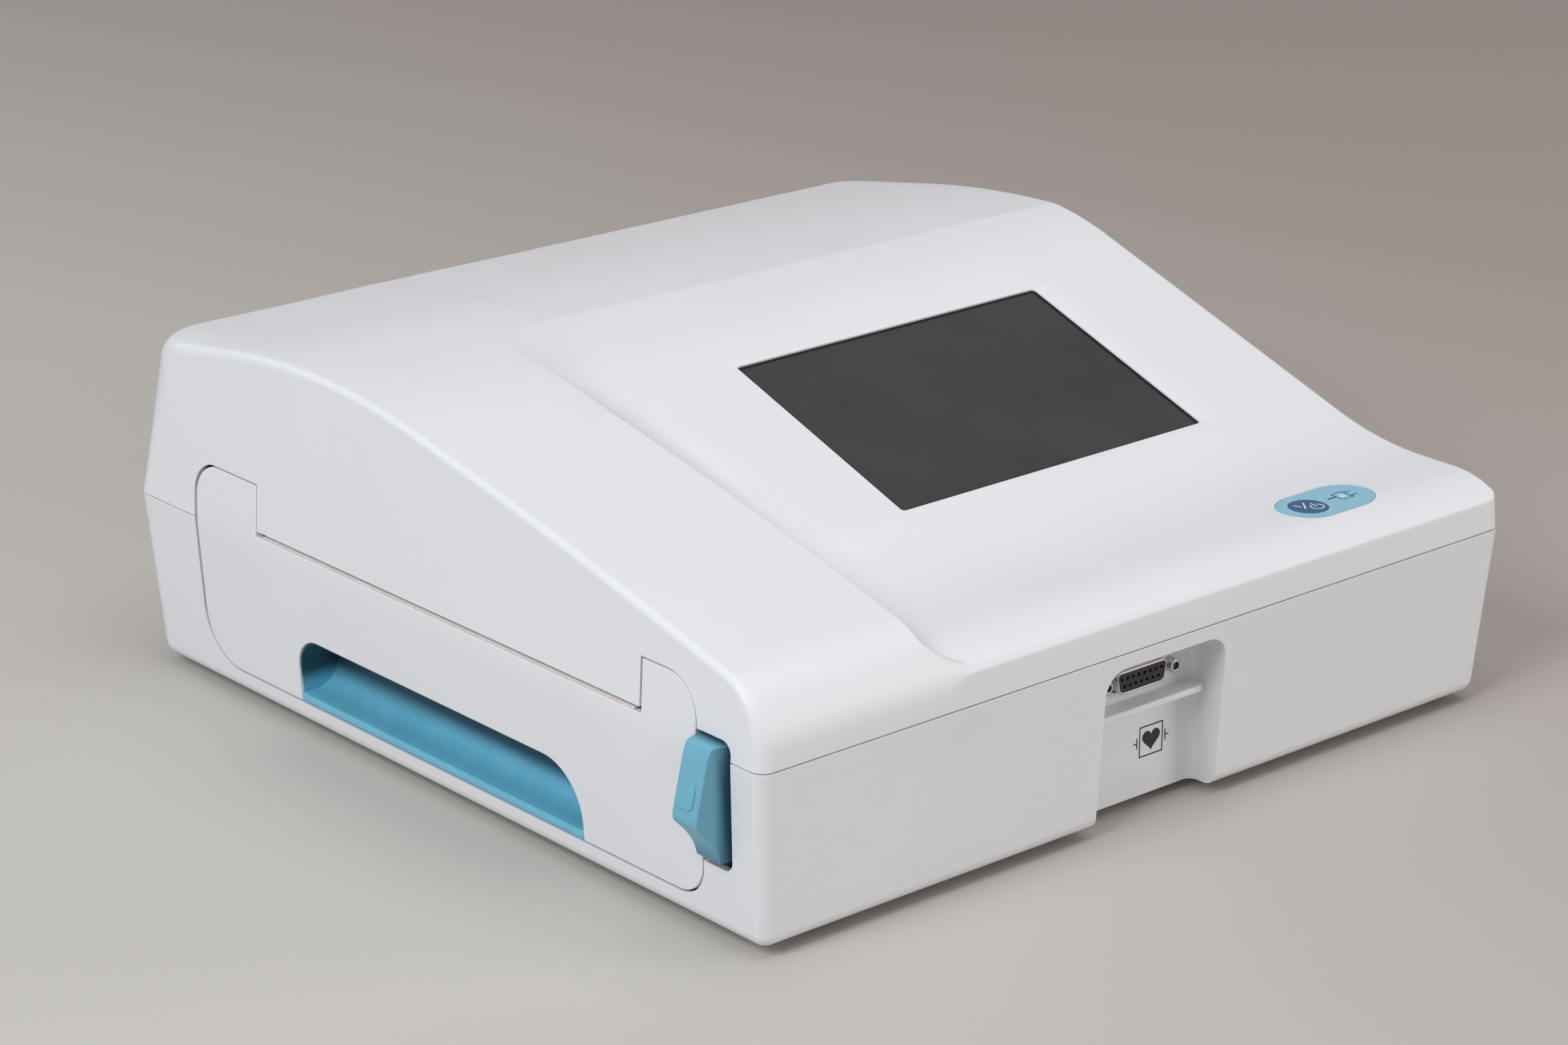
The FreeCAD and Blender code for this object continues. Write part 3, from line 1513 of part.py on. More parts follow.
bracket_solid = fuse(
    "bracket_solid",
    box("bracket_back", ("bracket_x", "bracket_x + bracket_plate"), ("pocket_front", "pocket_back"), ("floor_top", "pocket_top")),
    box(
        "bracket_lug",
        ("lever_pivot_x", "bracket_x"),
        ("lever_mid - lug_width / 2", "lever_mid + lug_width / 2"),
        ("lever_pivot_z - lug_radius", "lever_pivot_z + lug_radius"),
    ),
    rod("bracket_eye", "Y", ("lever_pivot_x", "lever_pivot_z"), "lug_radius", "lever_mid - lug_width / 2", "lever_mid + lug_width / 2"),
    box("bracket_foot", ("bracket_x", "bracket_x + 6 * bracket_plate"), ("pocket_front", "pocket_back"), ("floor_top", "floor_top + bracket_plate")),
    box("leaf_arm", ("bracket_x", "bracket_x + bracket_plate"), ("pocket_back", leaf_seat), ("leaf_height - wall", "leaf_height + leaf_width + wall")),
)
keep(
    "lever_bracket",
    cut(
        "lever_bracket",
        bracket_solid,
        rod("bracket_bore", "Y", ("lever_pivot_x", "lever_pivot_z"), "pin_radius", "lever_front", "lever_back"),
    ),
)
leaf_strip = box(
    "leaf_strip", ("bracket_x", "bracket_x + leaf_length"), (leaf_seat, f"{leaf_seat} + leaf_thickness"), ("leaf_height", "leaf_height + leaf_width")
)
leaf_nose = rod(
    "leaf_nose",
    "Z",
    ("bracket_x + leaf_length * 0.6", f"{leaf_seat} + leaf_thickness"),
    "leaf_nose_radius",
    "leaf_height",
    "leaf_height + leaf_width",
    sweep=180,
)
keep("latch_leaf", fuse("latch_leaf", leaf_strip, leaf_nose))

# Patient socket
socket_shell_blank = plate("socket_shell_blank", "XZ", socket_outline("0"), "bay_back - socket_reach", "bay_inside")
socket_flange = box(
    "socket_flange",
    ("bay_mid - flange_width / 2", "bay_mid + flange_width / 2"),
    ("bay_inside", "bay_inside + flange_thickness"),
    ("socket_height - flange_height / 2", "socket_height + flange_height / 2"),
)
socket_inside = plate(
    "socket_inside", "XZ", socket_outline("0 - socket_shell"), "bay_back - socket_reach - wall", "bay_inside + socket_behind + wall"
)


def jack_rods(name, radius, low, high):
    return [rod(f"{name}{i}", "Y", (x, "socket_height"), radius, low, high) for i, x in enumerate(jack_places())]


keep(
    "socket_shell",
    cut(
        "socket_shell",
        fuse("socket_shell_solid", socket_shell_blank, socket_flange),
        socket_inside,
        *jack_rods("flange_hole", "jack_bore", "bay_back", "bay_inside + socket_behind"),
    ),
)
contacts = []
for row, count in ((1, 8), (-1, 7)):
    for place_in_row in range(count):
        contacts.append(
            rod(
                f"contact{len(contacts)}",
                "Y",
                (f"bay_mid + {place_in_row - (count - 1) / 2} * contact_pitch", f"socket_height + {row} * contact_row / 2"),
                "contact_radius",
                "bay_back - socket_reach - wall",
                "bay_inside - bay_wall / 2",
            )
        )
keep(
    "socket_insert",
    cut(
        "socket_insert",
        plate(
            "insert_blank",
            "XZ",
            socket_outline("0 - socket_shell"),
            "bay_back - socket_reach + flange_thickness / 2",
            "bay_inside + socket_behind",
        ),
        *contacts,
    ),
)
keep(
    "jack_screws",
    cut(
        "jack_screws",
        fuse("jack_posts", *jack_rods("jack_post", "jack_radius", "bay_back - jack_reach", "bay_inside")),
        *jack_rods("jack_thread", "jack_bore", "bay_back - jack_reach - wall", "bay_back"),
    ),
)

# Mains inlet, equipotential post and data sockets in the rear bay
inlet_x = ("inlet_x - inlet_width / 2", "inlet_x + inlet_width / 2")
inlet_z = ("rear_mid_z - inlet_height / 2", "rear_mid_z + inlet_height / 2")
inlet_body = box("inlet_body", inlet_x, ("rear_face - inlet_body", "rear_face"), inlet_z)
inlet_rim = box(
    "inlet_rim",
    (f"{inlet_x[0]} - inlet_flange", f"{inlet_x[1]} + inlet_flange"),
    ("rear_face", "rear_face + inlet_wall"),
    (f"{inlet_z[0]} - inlet_flange", f"{inlet_z[1]} + inlet_flange"),
)
inlet_mouth = box(
    "inlet_mouth",
    (f"{inlet_x[0]} + inlet_wall", f"{inlet_x[1]} - inlet_wall"),
    ("rear_face - inlet_body + 3 * inlet_wall", "rear_face + wall"),
    (f"{inlet_z[0]} + inlet_wall", f"{inlet_z[1]} - inlet_wall"),
)


def blades(name, start):
    """Earth blade above, line and neutral below."""
    spots = (("0", "1"), ("0 - blade_spread / 2", "-1"), ("blade_spread / 2", "-1"))
    found = []
    for i, (across, up) in enumerate(spots):
        level = f"rear_mid_z + {up} * inlet_height / 4"
        found.append(
            box(
                f"{name}{i}",
                (f"inlet_x + {across} - blade_width / 2", f"inlet_x + {across} + blade_width / 2"),
                (start, "rear_face - inlet_body + 3 * inlet_wall + blade_length"),
                (f"{level} - blade_thickness / 2", f"{level} + blade_thickness / 2"),
            )
        )
    return found


keep(
    "mains_inlet",
    cut("mains_inlet", fuse("inlet_solid", inlet_body, inlet_rim), inlet_mouth, *blades("blade_slot", "rear_face - inlet_body - wall")),
)
keep("inlet_blades", fuse("inlet_blades", *blades("blade", "rear_face - inlet_body - inlet_wall")))
keep(
    "ground_post",
    fuse(
        "ground_post",
        rod("post_stud", "Y", ("rear_mid + post_offset", "rear_mid_z"), "post_radius", "rear_inside - wall", "rear_face + post_length"),
        rod("post_collar", "Y", ("rear_mid + post_offset", "rear_mid_z"), "post_radius * 1.8", "rear_face", "rear_face + post_length / 4"),
    ),
)


def port(name, middle, width, height, tongue_low, tongue_high):
    """Open metal shell with a tongue that carries its contacts."""
    x = (f"{middle} - {width} / 2", f"{middle} + {width} / 2")
    z = (f"port_height - {height} / 2", f"port_height + {height} / 2")
    shell = box(name + "_shell", x, ("rear_face - port_depth", "rear_face"), z)
    mouth = box(
        name + "_mouth",
        (f"{x[0]} + port_wall", f"{x[1]} - port_wall"),
        ("rear_face - port_depth + 2 * port_wall", "rear_face + wall"),
        (f"{z[0]} + port_wall", f"{z[1]} - port_wall"),
    )
    tongue = box(
        name + "_tongue",
        (f"{x[0]} + 2 * port_wall", f"{x[1]} - 2 * port_wall"),
        ("rear_face - port_depth + port_wall", "rear_face - 4 * port_wall"),
        (tongue_low, tongue_high),
    )
    return fuse(name, cut(name + "_open", shell, mouth), tongue)


keep(
    "usb_ports",
    fuse(
        "usb_ports",
        *[
            port(f"usb_port{i}", x, "usb_width", "usb_height", "port_height", "port_height + usb_height / 4")
            for i, x in enumerate(usb_places())
        ],
    ),
)
keep(
    "network_port",
    port(
        "network_port",
        "rear_mid + network_offset",
        "network_width",
        "network_height",
        "port_height + network_height / 2 - 4 * port_wall",
        "port_height + network_height / 2 - port_wall",
    ),
)

# Chassis over the tray, with the main board on its standoffs
chassis_x = ("chassis_x", "chassis_end")
keep(
    "chassis",
    fuse(
        "chassis",
        box("chassis_deck", chassis_x, ("chassis_front", "chassis_back"), ("chassis_height", "chassis_top")),
        box("chassis_front_leg", chassis_x, ("chassis_front", "chassis_front + chassis_sheet"), ("floor_top", "chassis_top")),
        box("chassis_back_leg", chassis_x, ("chassis_back - chassis_sheet", "chassis_back"), ("floor_top", "chassis_top")),
    ),
)
board_x = ("chassis_x + board_inset", "chassis_end - board_inset")
board_y = ("chassis_front + board_inset", "chassis_back - board_inset")
keep("main_board", box("main_board", board_x, board_y, ("main_board_low", "main_board_low + board_thickness")))
standoffs = []
for x in (f"{board_x[0]} + 2 * standoff_radius", f"{board_x[1]} - 2 * standoff_radius"):
    for y in (f"{board_y[0]} + 2 * standoff_radius", f"{board_y[1]} - 2 * standoff_radius"):
        standoffs.append(rod(f"standoff{len(standoffs)}", "Z", (x, y), "standoff_radius", "chassis_top", "main_board_low"))
keep("board_standoffs", fuse("board_standoffs", *standoffs))

# Power supply, battery and speaker on the case floor
keep(
    "power_supply",
    box(
        "power_supply",
        ("supply_end - supply_length", "supply_end"),
        ("supply_back - supply_width", "supply_back"),
        ("floor_top", "floor_top + supply_height"),
    ),
)
keep(
    "battery_pack",
    box(
        "battery_pack",
        ("battery_x - battery_length / 2", "battery_x + battery_length / 2"),
        ("battery_y - battery_width / 2", "battery_y + battery_width / 2"),
        ("foot_height + wall / 2", "foot_height + wall / 2 + battery_height"),
    ),
)
battery_door_blank = box(
    "battery_door_blank",
    ("battery_x - battery_hole_x - battery_rim + battery_door_gap", "battery_x + battery_hole_x + battery_rim - battery_door_gap"),
    ("battery_y - battery_hole_y - battery_rim + battery_door_gap", "battery_y + battery_hole_y + battery_rim - battery_door_gap"),
    ("foot_height", "foot_height + wall / 2"),
)
battery_door_holes = [
    rod(f"battery_door_hole{i}", "Z", (x, "battery_y"), "screw_radius", "0", "floor_top")
    for i, x in enumerate(battery_screw_places())
]
keep("battery_door", cut("battery_door", battery_door_blank, *battery_door_holes))
battery_screws = []
for i, x in enumerate(battery_screw_places()):
    battery_screws.append(rod(f"battery_screw_shank{i}", "Z", (x, "battery_y"), "screw_radius", "foot_height", "floor_top"))
    battery_screws.append(
        rod(f"battery_screw_head{i}", "Z", (x, "battery_y"), "screw_head_radius", "foot_height - screw_head_height", "foot_height")
    )
keep("battery_door_screws", fuse("battery_door_screws", *battery_screws))
keep(
    "speaker",
    rod(
        "speaker",
        "Z",
        ("right_side - speaker_from_right", "front_side + speaker_from_front"),
        "speaker_radius",
        "floor_top",
        "floor_top + speaker_height",
    ),
)

# Case screws and feet
keep(
    "case_screws",
    fuse(
        "case_screws",
        *bosses("case_screw_shank", "case_screw_radius", "foot_height + case_screw_sink", "foot_height + case_screw_length"),
        *bosses("case_screw_head", "case_screw_head", "foot_height + case_screw_sink / 3", "foot_height + case_screw_sink"),
    ),
)
keep(
    "feet",
    fuse(
        "feet",
        *[
            rod(f"foot{i}", "Z", spot, "foot_radius", "0", "foot_height + foot_sink")
            for i, spot in enumerate(foot_places())
        ],
    ),
)

doc.recompute()
faults = [thing.Name for thing in doc.Objects if {"Invalid", "Error"} & set(thing.State)]
faults += [name for name, thing in kept.items() if thing.Shape.isNull() or not thing.Shape.isValid()]
if faults:
    raise RuntimeError("these objects failed: " + ", ".join(faults))
os.makedirs("parts", exist_ok=True)
for name, thing in kept.items():
    thing.Shape.exportStep(f"parts/{name}.step")
    print(name, len(thing.Shape.Solids), "solids", round(thing.Shape.Volume), "cubic mm")
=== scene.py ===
"""Desk ECG recorder: the visible pieces, their finishes and a studio stage."""

import json
import math

import bmesh
import bpy
from mathutils import Matrix, Vector


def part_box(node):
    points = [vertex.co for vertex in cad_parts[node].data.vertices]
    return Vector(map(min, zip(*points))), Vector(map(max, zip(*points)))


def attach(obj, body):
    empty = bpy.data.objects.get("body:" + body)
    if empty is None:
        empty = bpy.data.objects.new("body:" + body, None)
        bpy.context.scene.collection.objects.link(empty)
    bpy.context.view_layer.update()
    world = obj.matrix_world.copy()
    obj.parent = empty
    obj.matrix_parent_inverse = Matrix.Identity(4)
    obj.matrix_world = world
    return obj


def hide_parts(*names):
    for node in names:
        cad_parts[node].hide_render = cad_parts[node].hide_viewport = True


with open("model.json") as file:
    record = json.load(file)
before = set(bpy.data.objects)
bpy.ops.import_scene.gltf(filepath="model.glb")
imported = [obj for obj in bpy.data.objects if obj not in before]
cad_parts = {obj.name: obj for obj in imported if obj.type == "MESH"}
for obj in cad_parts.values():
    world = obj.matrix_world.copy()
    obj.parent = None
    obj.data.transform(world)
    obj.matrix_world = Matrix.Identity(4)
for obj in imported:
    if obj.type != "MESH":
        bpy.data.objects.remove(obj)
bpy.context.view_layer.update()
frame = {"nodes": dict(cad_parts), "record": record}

bl_info = {
    "name": "Desk ECG Recorder",
    "version": (1, 0, 0),
    "blender": (4, 5, 0),
    "location": "View3D > Sidebar > Recorder",
    "description": "Builds the shells, tray, lever, screen and sockets of a desk ECG recorder",
    "category": "Object",
}

MM = 0.001  # shapes are drawn in millimetres and scaled when they become a piece
NEAR = 0.01  # a vertex no further than this from a plane counts as lying in it


# Places of the CAD nodes


def node_box(node):
    """Lowest and highest corner of a CAD node, in millimetres."""
    low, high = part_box(node)
    return [v / MM for v in low], [v / MM for v in high]


def node_middle(node):
    """Middle of a CAD node's box."""
    return [(a + b) / 2 for a, b in zip(*node_box(node))]


(LEFT, FRONT, FOOT), (RIGHT, BACK, _) = node_box("bottom_case")
PARTING = node_box("top_cover")[0][2]
(_, DOOR_FRONT, DOOR_LOW), (_, DOOR_BACK, EAR_TOP) = node_box("door_panel")
(_, LEVER_FRONT, LEVER_LOW), (_, LEVER_BACK, LEVER_TOP) = node_box("latch_lever")
(_, SCOOP_FRONT, _), (SCOOP_END, SCOOP_BACK, SCOOP_TOP) = node_box("finger_scoop")
FILM_LOW, FILM_HIGH = node_box("power_overlay")
KEY_LOW, KEY_HIGH = node_box("power_key")
KEY_SPOT = node_middle("power_key")[:2]
LAMP_LOW = node_box("mains_lamp")[0][2]
LAMP_SPOT = node_middle("mains_lamp")[:2]
SHELL_LOW, SHELL_HIGH = node_box("socket_shell")
SOCKET_X, _, SOCKET_Z = node_middle("socket_shell")
JACK_RADIUS = 2.6
(JACK_LEFT, _, _), (JACK_RIGHT, JACK_END, _) = node_box("jack_screws")
JACK_SPOTS = (JACK_LEFT + JACK_RADIUS, JACK_RIGHT - JACK_RADIUS)
JACK_Z = node_middle("jack_screws")[2]

# Sizes that several pieces share

EAR_FRONT, EAR_BACK = 28.1, 38.5  # widths of the door's two ears
BACK_GAP = 1.8  # how many times wider the door's gap is at the back
CUT_START = LEFT - 12  # cutters for the left wall start outside it
DOOR_ROUNDS = {0: 13.5, 1: 20.0, 2: 12.5, 7: 15.0}  # radius at some corners of the door's outline
SCOOP_WALL = 1.8
SCOOP_ROUNDS = {2: 13.0, 3: 20.0}  # upper corners of the finger scoop's opening
WINDOW = (-75.0, 75.2, -48.0, 48.2)  # screen's window, in the sloping panel's own plane
WINDOW_ROUND = 1.6
GLASS = 1.8  # thickness of the screen's glass
BAY_HALF = 29.5
BAY_LEFT, BAY_RIGHT = SOCKET_X - BAY_HALF, SOCKET_X + BAY_HALF
BAY_TOP = 63.6
BAY_BACK = FRONT + 16.5
PANEL_FOOT, PANEL_HEAD = (-123.1, 88.2), (44.8, 145.27)  # sloping panel's ends, as y and z
PANEL_RISE = (PANEL_HEAD[1] - PANEL_FOOT[1]) / (PANEL_HEAD[0] - PANEL_FOOT[0])
KEY_HOLE = 7.5  # radius of the film's hole for the key
SKEW = 0.4  # how far the film and the key move to the right for each millimetre backwards
SEAM_ROUND = 0.35
INK = 0.03  # thickness of the printed marks


# Settings


def length(name, words, number):
    """Size property, in millimetres."""
    return bpy.props.FloatProperty(name=name, description=words, default=number)


def angle(name, words, degrees):
    """Angle property, given in degrees."""
    return bpy.props.FloatProperty(
        name=name, description=words, default=math.radians(degrees), subtype="ANGLE", unit="ROTATION"
    )


def colour(name, words, linear):
    """Colour property in linear values."""
    return bpy.props.FloatVectorProperty(
        name=name, description=words, subtype="COLOR", size=3, default=linear
    )


class RecorderSizes(bpy.types.PropertyGroup):
    """Sizes of the visible pieces, in millimetres, and the shells' tapers."""

    seam: length("Seam", "Height where the two shells part", 69.0)
    wall: length("Wall", "Thickness of the shells", 3.0)
    draft: angle("Draft", "Case taper", 4.06)
    lean: angle("Lean", "Cover taper", 2.9)
    corner: length("Corner", "Radius of the upright corners in front", 5.2)
    back_foot: length("Back foot", "Radius of the case's back corners", 9.0)
    edge: length("Edge", "Radius of the long top edges", 2.4)
    floor_edge: length("Floor edge", "Radius under the case", 4.9)
    rim: length("Rim", "Rounding of openings", 0.5)
    door_gap: length("Door gap", "Gap round the printer door", 0.8)
    slot: length("Paper slot", "Height of the door under the slot", 72.2)
    slot_gap: length("Slot gap", "Opening of the paper slot", 2.2)
    recess: length("Recess edge", "Recess edge, from the left wall", 76.4)
    recess_corner: length("Recess corner", "Radius of its back corner", 29.0)
    shoulder: length("Shoulder", "Width of the recess wall", 22.0)
    flare: length("Flare", "Hump widening at the front", 8.0)
    back_corner: length("Back corner", "Upright radius at the back, on top", 24.0)
    skin: length("Cover skin", "Thickness of the cover", 2.2)
    film_reach: length("Film reach", "Overlay past its node, backwards", 3.0)
    key_shift: length("Key shift", "Key and lamp from their nodes, backwards", 1.8)
    screen_depth: length("Screen depth", "Recess of the glass", 1.4)


class RecorderColours(bpy.types.PropertyGroup):
    """Colours of the finishes."""

    shell: colour("Shell", "White moulded plastic", (0.80, 0.81, 0.83))
    lever: colour("Lever", "Blue lever", (0.16, 0.45, 0.585))
    scoop: colour("Scoop", "Blue finger scoop", (0.17, 0.56, 0.76))
    film: colour("Film", "Overlay round the key", (0.30, 0.57, 0.71))
    key: colour("Key", "Disc of the power key", (0.042, 0.132, 0.26))
    screen: colour("Screen", "Unlit screen", (0.050, 0.050, 0.0515))
    # Painted shade: the lever darkens towards the wall, where it sits in its pocket's shadow
    lever_painted_shade: colour("Lever shade", "Blue lever, in its pocket", (0.03, 0.11, 0.17))
    # Painted shade: the scoop darkens higher up inside, under the door's edge
    scoop_painted_shade: colour("Scoop shade", "Finger scoop, high inside", (0.016, 0.065, 0.10))
    dash: colour("Dashes", "Print along the sheet's edge", (0.62, 0.30, 0.27))
    floor: colour("Floor", "Studio floor", (0.565, 0.54, 0.505))
    # Painted shade: floor and backdrop darken to the far right, in place of the lamps' falloff
    floor_painted_shade: colour("Far floor", "Studio floor and backdrop, far right", (0.405, 0.352, 0.322))


def sizes():
    return bpy.context.scene.recorder_sizes


def colours():
    return bpy.context.scene.recorder_colours


# Shapes


def on_plane(plane, u, v, depth):
    """Point of a drawing plane at a depth across it."""
    return {"YZ": (depth, u, v), "XZ": (u, depth, v), "XY": (u, v, depth)}[plane]


def prism(corners, rounds, plane, low, high, steps=8):
    """Block with an outline on a plane; rounds gives the radius at some corners."""
    bm = bmesh.new()
    verts = [bm.verts.new(on_plane(plane, u, v, low)) for u, v in corners]
    bm.faces.new(verts)
    for index, radius in rounds.items():
        bmesh.ops.bevel(
            bm, geom=[verts[index]], offset=radius, offset_type="OFFSET", segments=steps, profile=0.5,
            affect="VERTICES", clamp_overlap=False, material=-1,
        )
    grown = bmesh.ops.extrude_face_region(bm, geom=list(bm.faces))
    far = [item for item in grown["geom"] if isinstance(item, bmesh.types.BMVert)]
    bmesh.ops.translate(bm, vec=Vector(on_plane(plane, 0, 0, high - low)), verts=far)
    bmesh.ops.recalc_face_normals(bm, faces=bm.faces)
    return bm


def moved(bm, spot, turn=0.0, axis="Z"):
    """Turns a shape round an axis and carries it to a place."""
    matrix = Matrix.Translation(spot) @ Matrix.Rotation(turn, 4, axis)
    bmesh.ops.transform(bm, matrix=matrix, verts=bm.verts)
    return bm


def rectangle(u0, u1, v0, v1):
    return [(u0, v0), (u1, v0), (u1, v1), (u0, v1)]


def all_round(radius):
    """Same radius at a rectangle's four corners."""
    return {corner: radius for corner in range(4)}


def grown_rounds(rounds, gap):
    """Radii that keep an outline parallel when it grows by a gap."""
    return {corner: radius + gap for corner, radius in rounds.items()}


def oval(x, y, z, cap=14.0):
    """Flat bar with ends like half ellipses."""
    half = (y[1] - y[0]) / 2
    ends = (x[0] + cap, x[1] - cap)
    outline = rectangle(ends[0] - half, ends[1] + half, *y)
    bm = prism(outline, all_round(half - 0.005), "XY", *z, steps=14)
    for vert in bm.verts:
        for end, way in zip(ends, (-1, 1)):
            beyond = way * (vert.co.x - end)
            if beyond > 0:
                vert.co.x = end + way * beyond * cap / half
    return bm


def block(x, y, z):
    """Box between two values along each axis."""
    return prism(rectangle(*x, *y), {}, "XY", *z)


def rod(axis, middle, radius, low, high, sides=48):
    """Round bar along Y or Z; middle is its place on the other two axes."""
    bm = bmesh.new()
    bmesh.ops.create_cone(
        bm, cap_ends=True, segments=sides, radius1=radius, radius2=radius, depth=high - low,
    )
    spot = list(middle)
    spot.insert("XYZ".index(axis), (low + high) / 2)
    moved(bm, spot, {"Y": math.pi / 2, "Z": 0.0}[axis], "X")
    bmesh.ops.recalc_face_normals(bm, faces=bm.faces)
    return bm


def bevel(bm, edges, width, steps=2, clamp=True):
    bmesh.ops.bevel(
        bm, geom=list(edges), offset=width, offset_type="OFFSET", segments=steps, profile=0.5,
        affect="EDGES", clamp_overlap=clamp, material=-1,
    )


def near(axis, level):
    """Test of whether a place lies in a plane across an axis."""
    place = "XYZ".index(axis)
    return lambda spot: abs(spot[place] - level) < NEAR


def edges_where(bm, test):
    """Edges whose ends all pass a test of their place."""
    return [edge for edge in bm.edges if all(test(vert.co) for vert in edge.verts)]


def soften(bm, width, test, steps=2):
    """Rounds the sharp edges whose ends all pass a test of their place."""
    sharp = math.radians(40)
    edges = [e for e in edges_where(bm, test) if len(e.link_faces) == 2 and e.calc_face_angle(0) > sharp]
    bevel(bm, edges, width, steps)
    return bm


def mesh_of(bm, name="drawn"):
    """Mesh of a shape; the shape is used up."""
    mesh = bpy.data.meshes.new(name)
    bm.to_mesh(mesh)
    bm.free()
    return mesh


def placed(name, data):
    """Object for a mesh, lamp or camera, put in the scene."""
    made = bpy.data.objects.new(name, data)
    bpy.context.scene.collection.objects.link(made)
    return made


def let_go(holder, *tools):
    """Shape of an object with its modifiers; the objects are removed."""
    depsgraph = bpy.context.evaluated_depsgraph_get()
    result = bpy.data.meshes.new_from_object(holder.evaluated_get(depsgraph))
    bm = bmesh.new()
    bm.from_mesh(result)
    bpy.data.meshes.remove(result)
    for used in (holder, *tools):
        mesh = used.data
        bpy.data.objects.remove(used)
        bpy.data.meshes.remove(mesh)
    return bm


def combine(how, first, *others):
    """Boolean of shapes; how is DIFFERENCE or UNION. The shapes are used up."""
    holder, *tools = [placed("drawn", mesh_of(bm)) for bm in (first, *others)]
    for tool in tools:
        step = holder.modifiers.new("step", "BOOLEAN")
        step.operation = how
        step.object = tool
        step.solver = "EXACT"
    bm = let_go(holder, *tools)
    if not bm.faces:
        raise RuntimeError("a boolean left nothing")
    return bm


def shelled(bm, thick):
    """Gives an open skin a thickness, inwards."""
    holder = placed("drawn", mesh_of(bm))
    step = holder.modifiers.new("step", "SOLIDIFY")
    step.thickness = thick
    step.offset = -1.0
    step.use_even_offset = True
    return let_go(holder)


def gather(*shapes):
    """Puts separate shapes in one mesh."""
    bm = bmesh.new()
    for shape in shapes:
        mesh = mesh_of(shape)
        bm.from_mesh(mesh)
        bpy.data.meshes.remove(mesh)
    return bm


def arc(radius, width, start, sweep, middle):
    """Flat ring segment of ink round a middle."""
    bm = bmesh.new()
    half = width / 2
    section = ((-half, 0), (half, 0), (half, INK), (-half, INK))
    face = bm.faces.new([bm.verts.new((radius + across, 0, up)) for across, up in section])
    moved(bm, (0, 0, 0), math.radians(start))
    bmesh.ops.spin(
        bm, geom=[face], cent=(0, 0, 0), axis=(0, 0, 1), angle=math.radians(sweep), steps=24, use_merge=False
    )
    bmesh.ops.recalc_face_normals(bm, faces=bm.faces)
    return moved(bm, (*middle, 0))


def bar(x, y, long, wide, turn):
    """Flat bar of ink, centred at a place and turned."""
    bm = prism(rectangle(-long / 2, long / 2, -wide / 2, wide / 2), {}, "XY", 0, INK)
    return moved(bm, (x, y, 0), math.radians(turn))


def piece(name, bm, body, slot, *nodes, look=None):
    """Makes a drawn shape a piece that moves with a body and may stand for CAD nodes.

    Its finish is that of its slot, or of a look of its own.
    """
    bmesh.ops.remove_doubles(bm, verts=bm.verts, dist=0.0005)
    bmesh.ops.scale(bm, vec=(MM, MM, MM), verts=bm.verts)
    mesh = mesh_of(bm, name)
    mesh.shade_smooth()
    mesh.set_sharp_from_angle(angle=math.radians(35))
    mesh.materials.append(finish_for(look or slot))
    made = placed(name, mesh)
    even = made.modifiers.new("even shading", "WEIGHTED_NORMAL")
    even.keep_sharp = True
    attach(made, body)
    if nodes:
        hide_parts(*nodes)


# Outlines that more than one piece follows


def side_x(z):
    """Left wall's outer face at a height: the case narrows downwards and the cover upwards."""
    s = sizes()
    up = z - s.seam
    return LEFT + (math.tan(s.lean) * up if up > 0 else -math.tan(s.draft) * up)


def front_y(z):
    """Case's front face at a height."""
    return FRONT + math.tan(sizes().draft) * (sizes().seam - z)


def onto_wall(bm, sink):
    """Moves a shape's outer end to the left wall, sunk by a depth."""
    for vert in bm.verts:
        if vert.co.x < LEFT + 1:
            vert.co.x = side_x(vert.co.z) + sink
    return bm


def on_left_wall(spot):
    """Whether a place is on the left wall, by the door or the lever."""
    margin, close = 3.0, 0.03
    beside = DOOR_LOW - margin < spot.z < EAR_TOP + margin and spot.y > LEVER_FRONT - margin
    return beside and abs(spot.x - side_x(spot.z)) < close


def door_corners(gap, slot):
    """Door's outline, grown by a gap; slot is the height of its edge under the paper slot."""
    front, back = DOOR_FRONT - gap, DOOR_BACK + BACK_GAP * gap
    low, top = DOOR_LOW - gap, EAR_TOP + gap
    front_ear, back_ear = DOOR_FRONT + EAR_FRONT + gap, DOOR_BACK - EAR_BACK - gap
    return [
        (front, low), (back, low), (back, top), (back_ear, top),
        (back_ear, slot), (front_ear, slot), (front_ear, top), (front, top),
    ]


def door_cut():
    s = sizes()
    depth = 12.0
    corners = door_corners(s.door_gap, s.slot + s.slot_gap)
    return prism(corners, grown_rounds(DOOR_ROUNDS, s.door_gap), "YZ", CUT_START, LEFT + depth, steps=10)


def pocket_cut():
    """Pocket of the lever, open to the door; its lower front corner is set back."""
    gap, set_back, depth = 0.9, 2.9, 9.0
    corners = rectangle(LEVER_FRONT - gap, DOOR_FRONT, LEVER_LOW - gap, LEVER_TOP + gap)
    corners[0] = (corners[0][0] + set_back, corners[0][1])
    return prism(corners, {0: 4.0, 3: 5.0}, "YZ", CUT_START, LEFT + depth)


def scoop_block(gap, low, start, end):
    """Block with the outline of the finger scoop's opening, grown by a gap, above a height."""
    corners = rectangle(SCOOP_FRONT + SCOOP_WALL - gap, SCOOP_BACK + gap, low, SCOOP_TOP - SCOOP_WALL + gap)
    return prism(corners, grown_rounds(SCOOP_ROUNDS, gap), "YZ", start, end, steps=12)


def on_panel(bm):
    """Lays a shape drawn flat in the sloping panel, at the middle of the screen."""
    tilt = math.atan(PANEL_RISE)
    up = Vector((0, -math.sin(tilt), math.cos(tilt)))
    spot = Vector(node_middle("display_glass")) + up * (sizes().screen_depth + GLASS / 2)
    return moved(bm, spot, tilt, "X")


def window_outline(inset):
    """Screen's window, made smaller on every side."""
    left, right, low, high = WINDOW
    return rectangle(left + inset, right - inset, low + inset, high - inset)


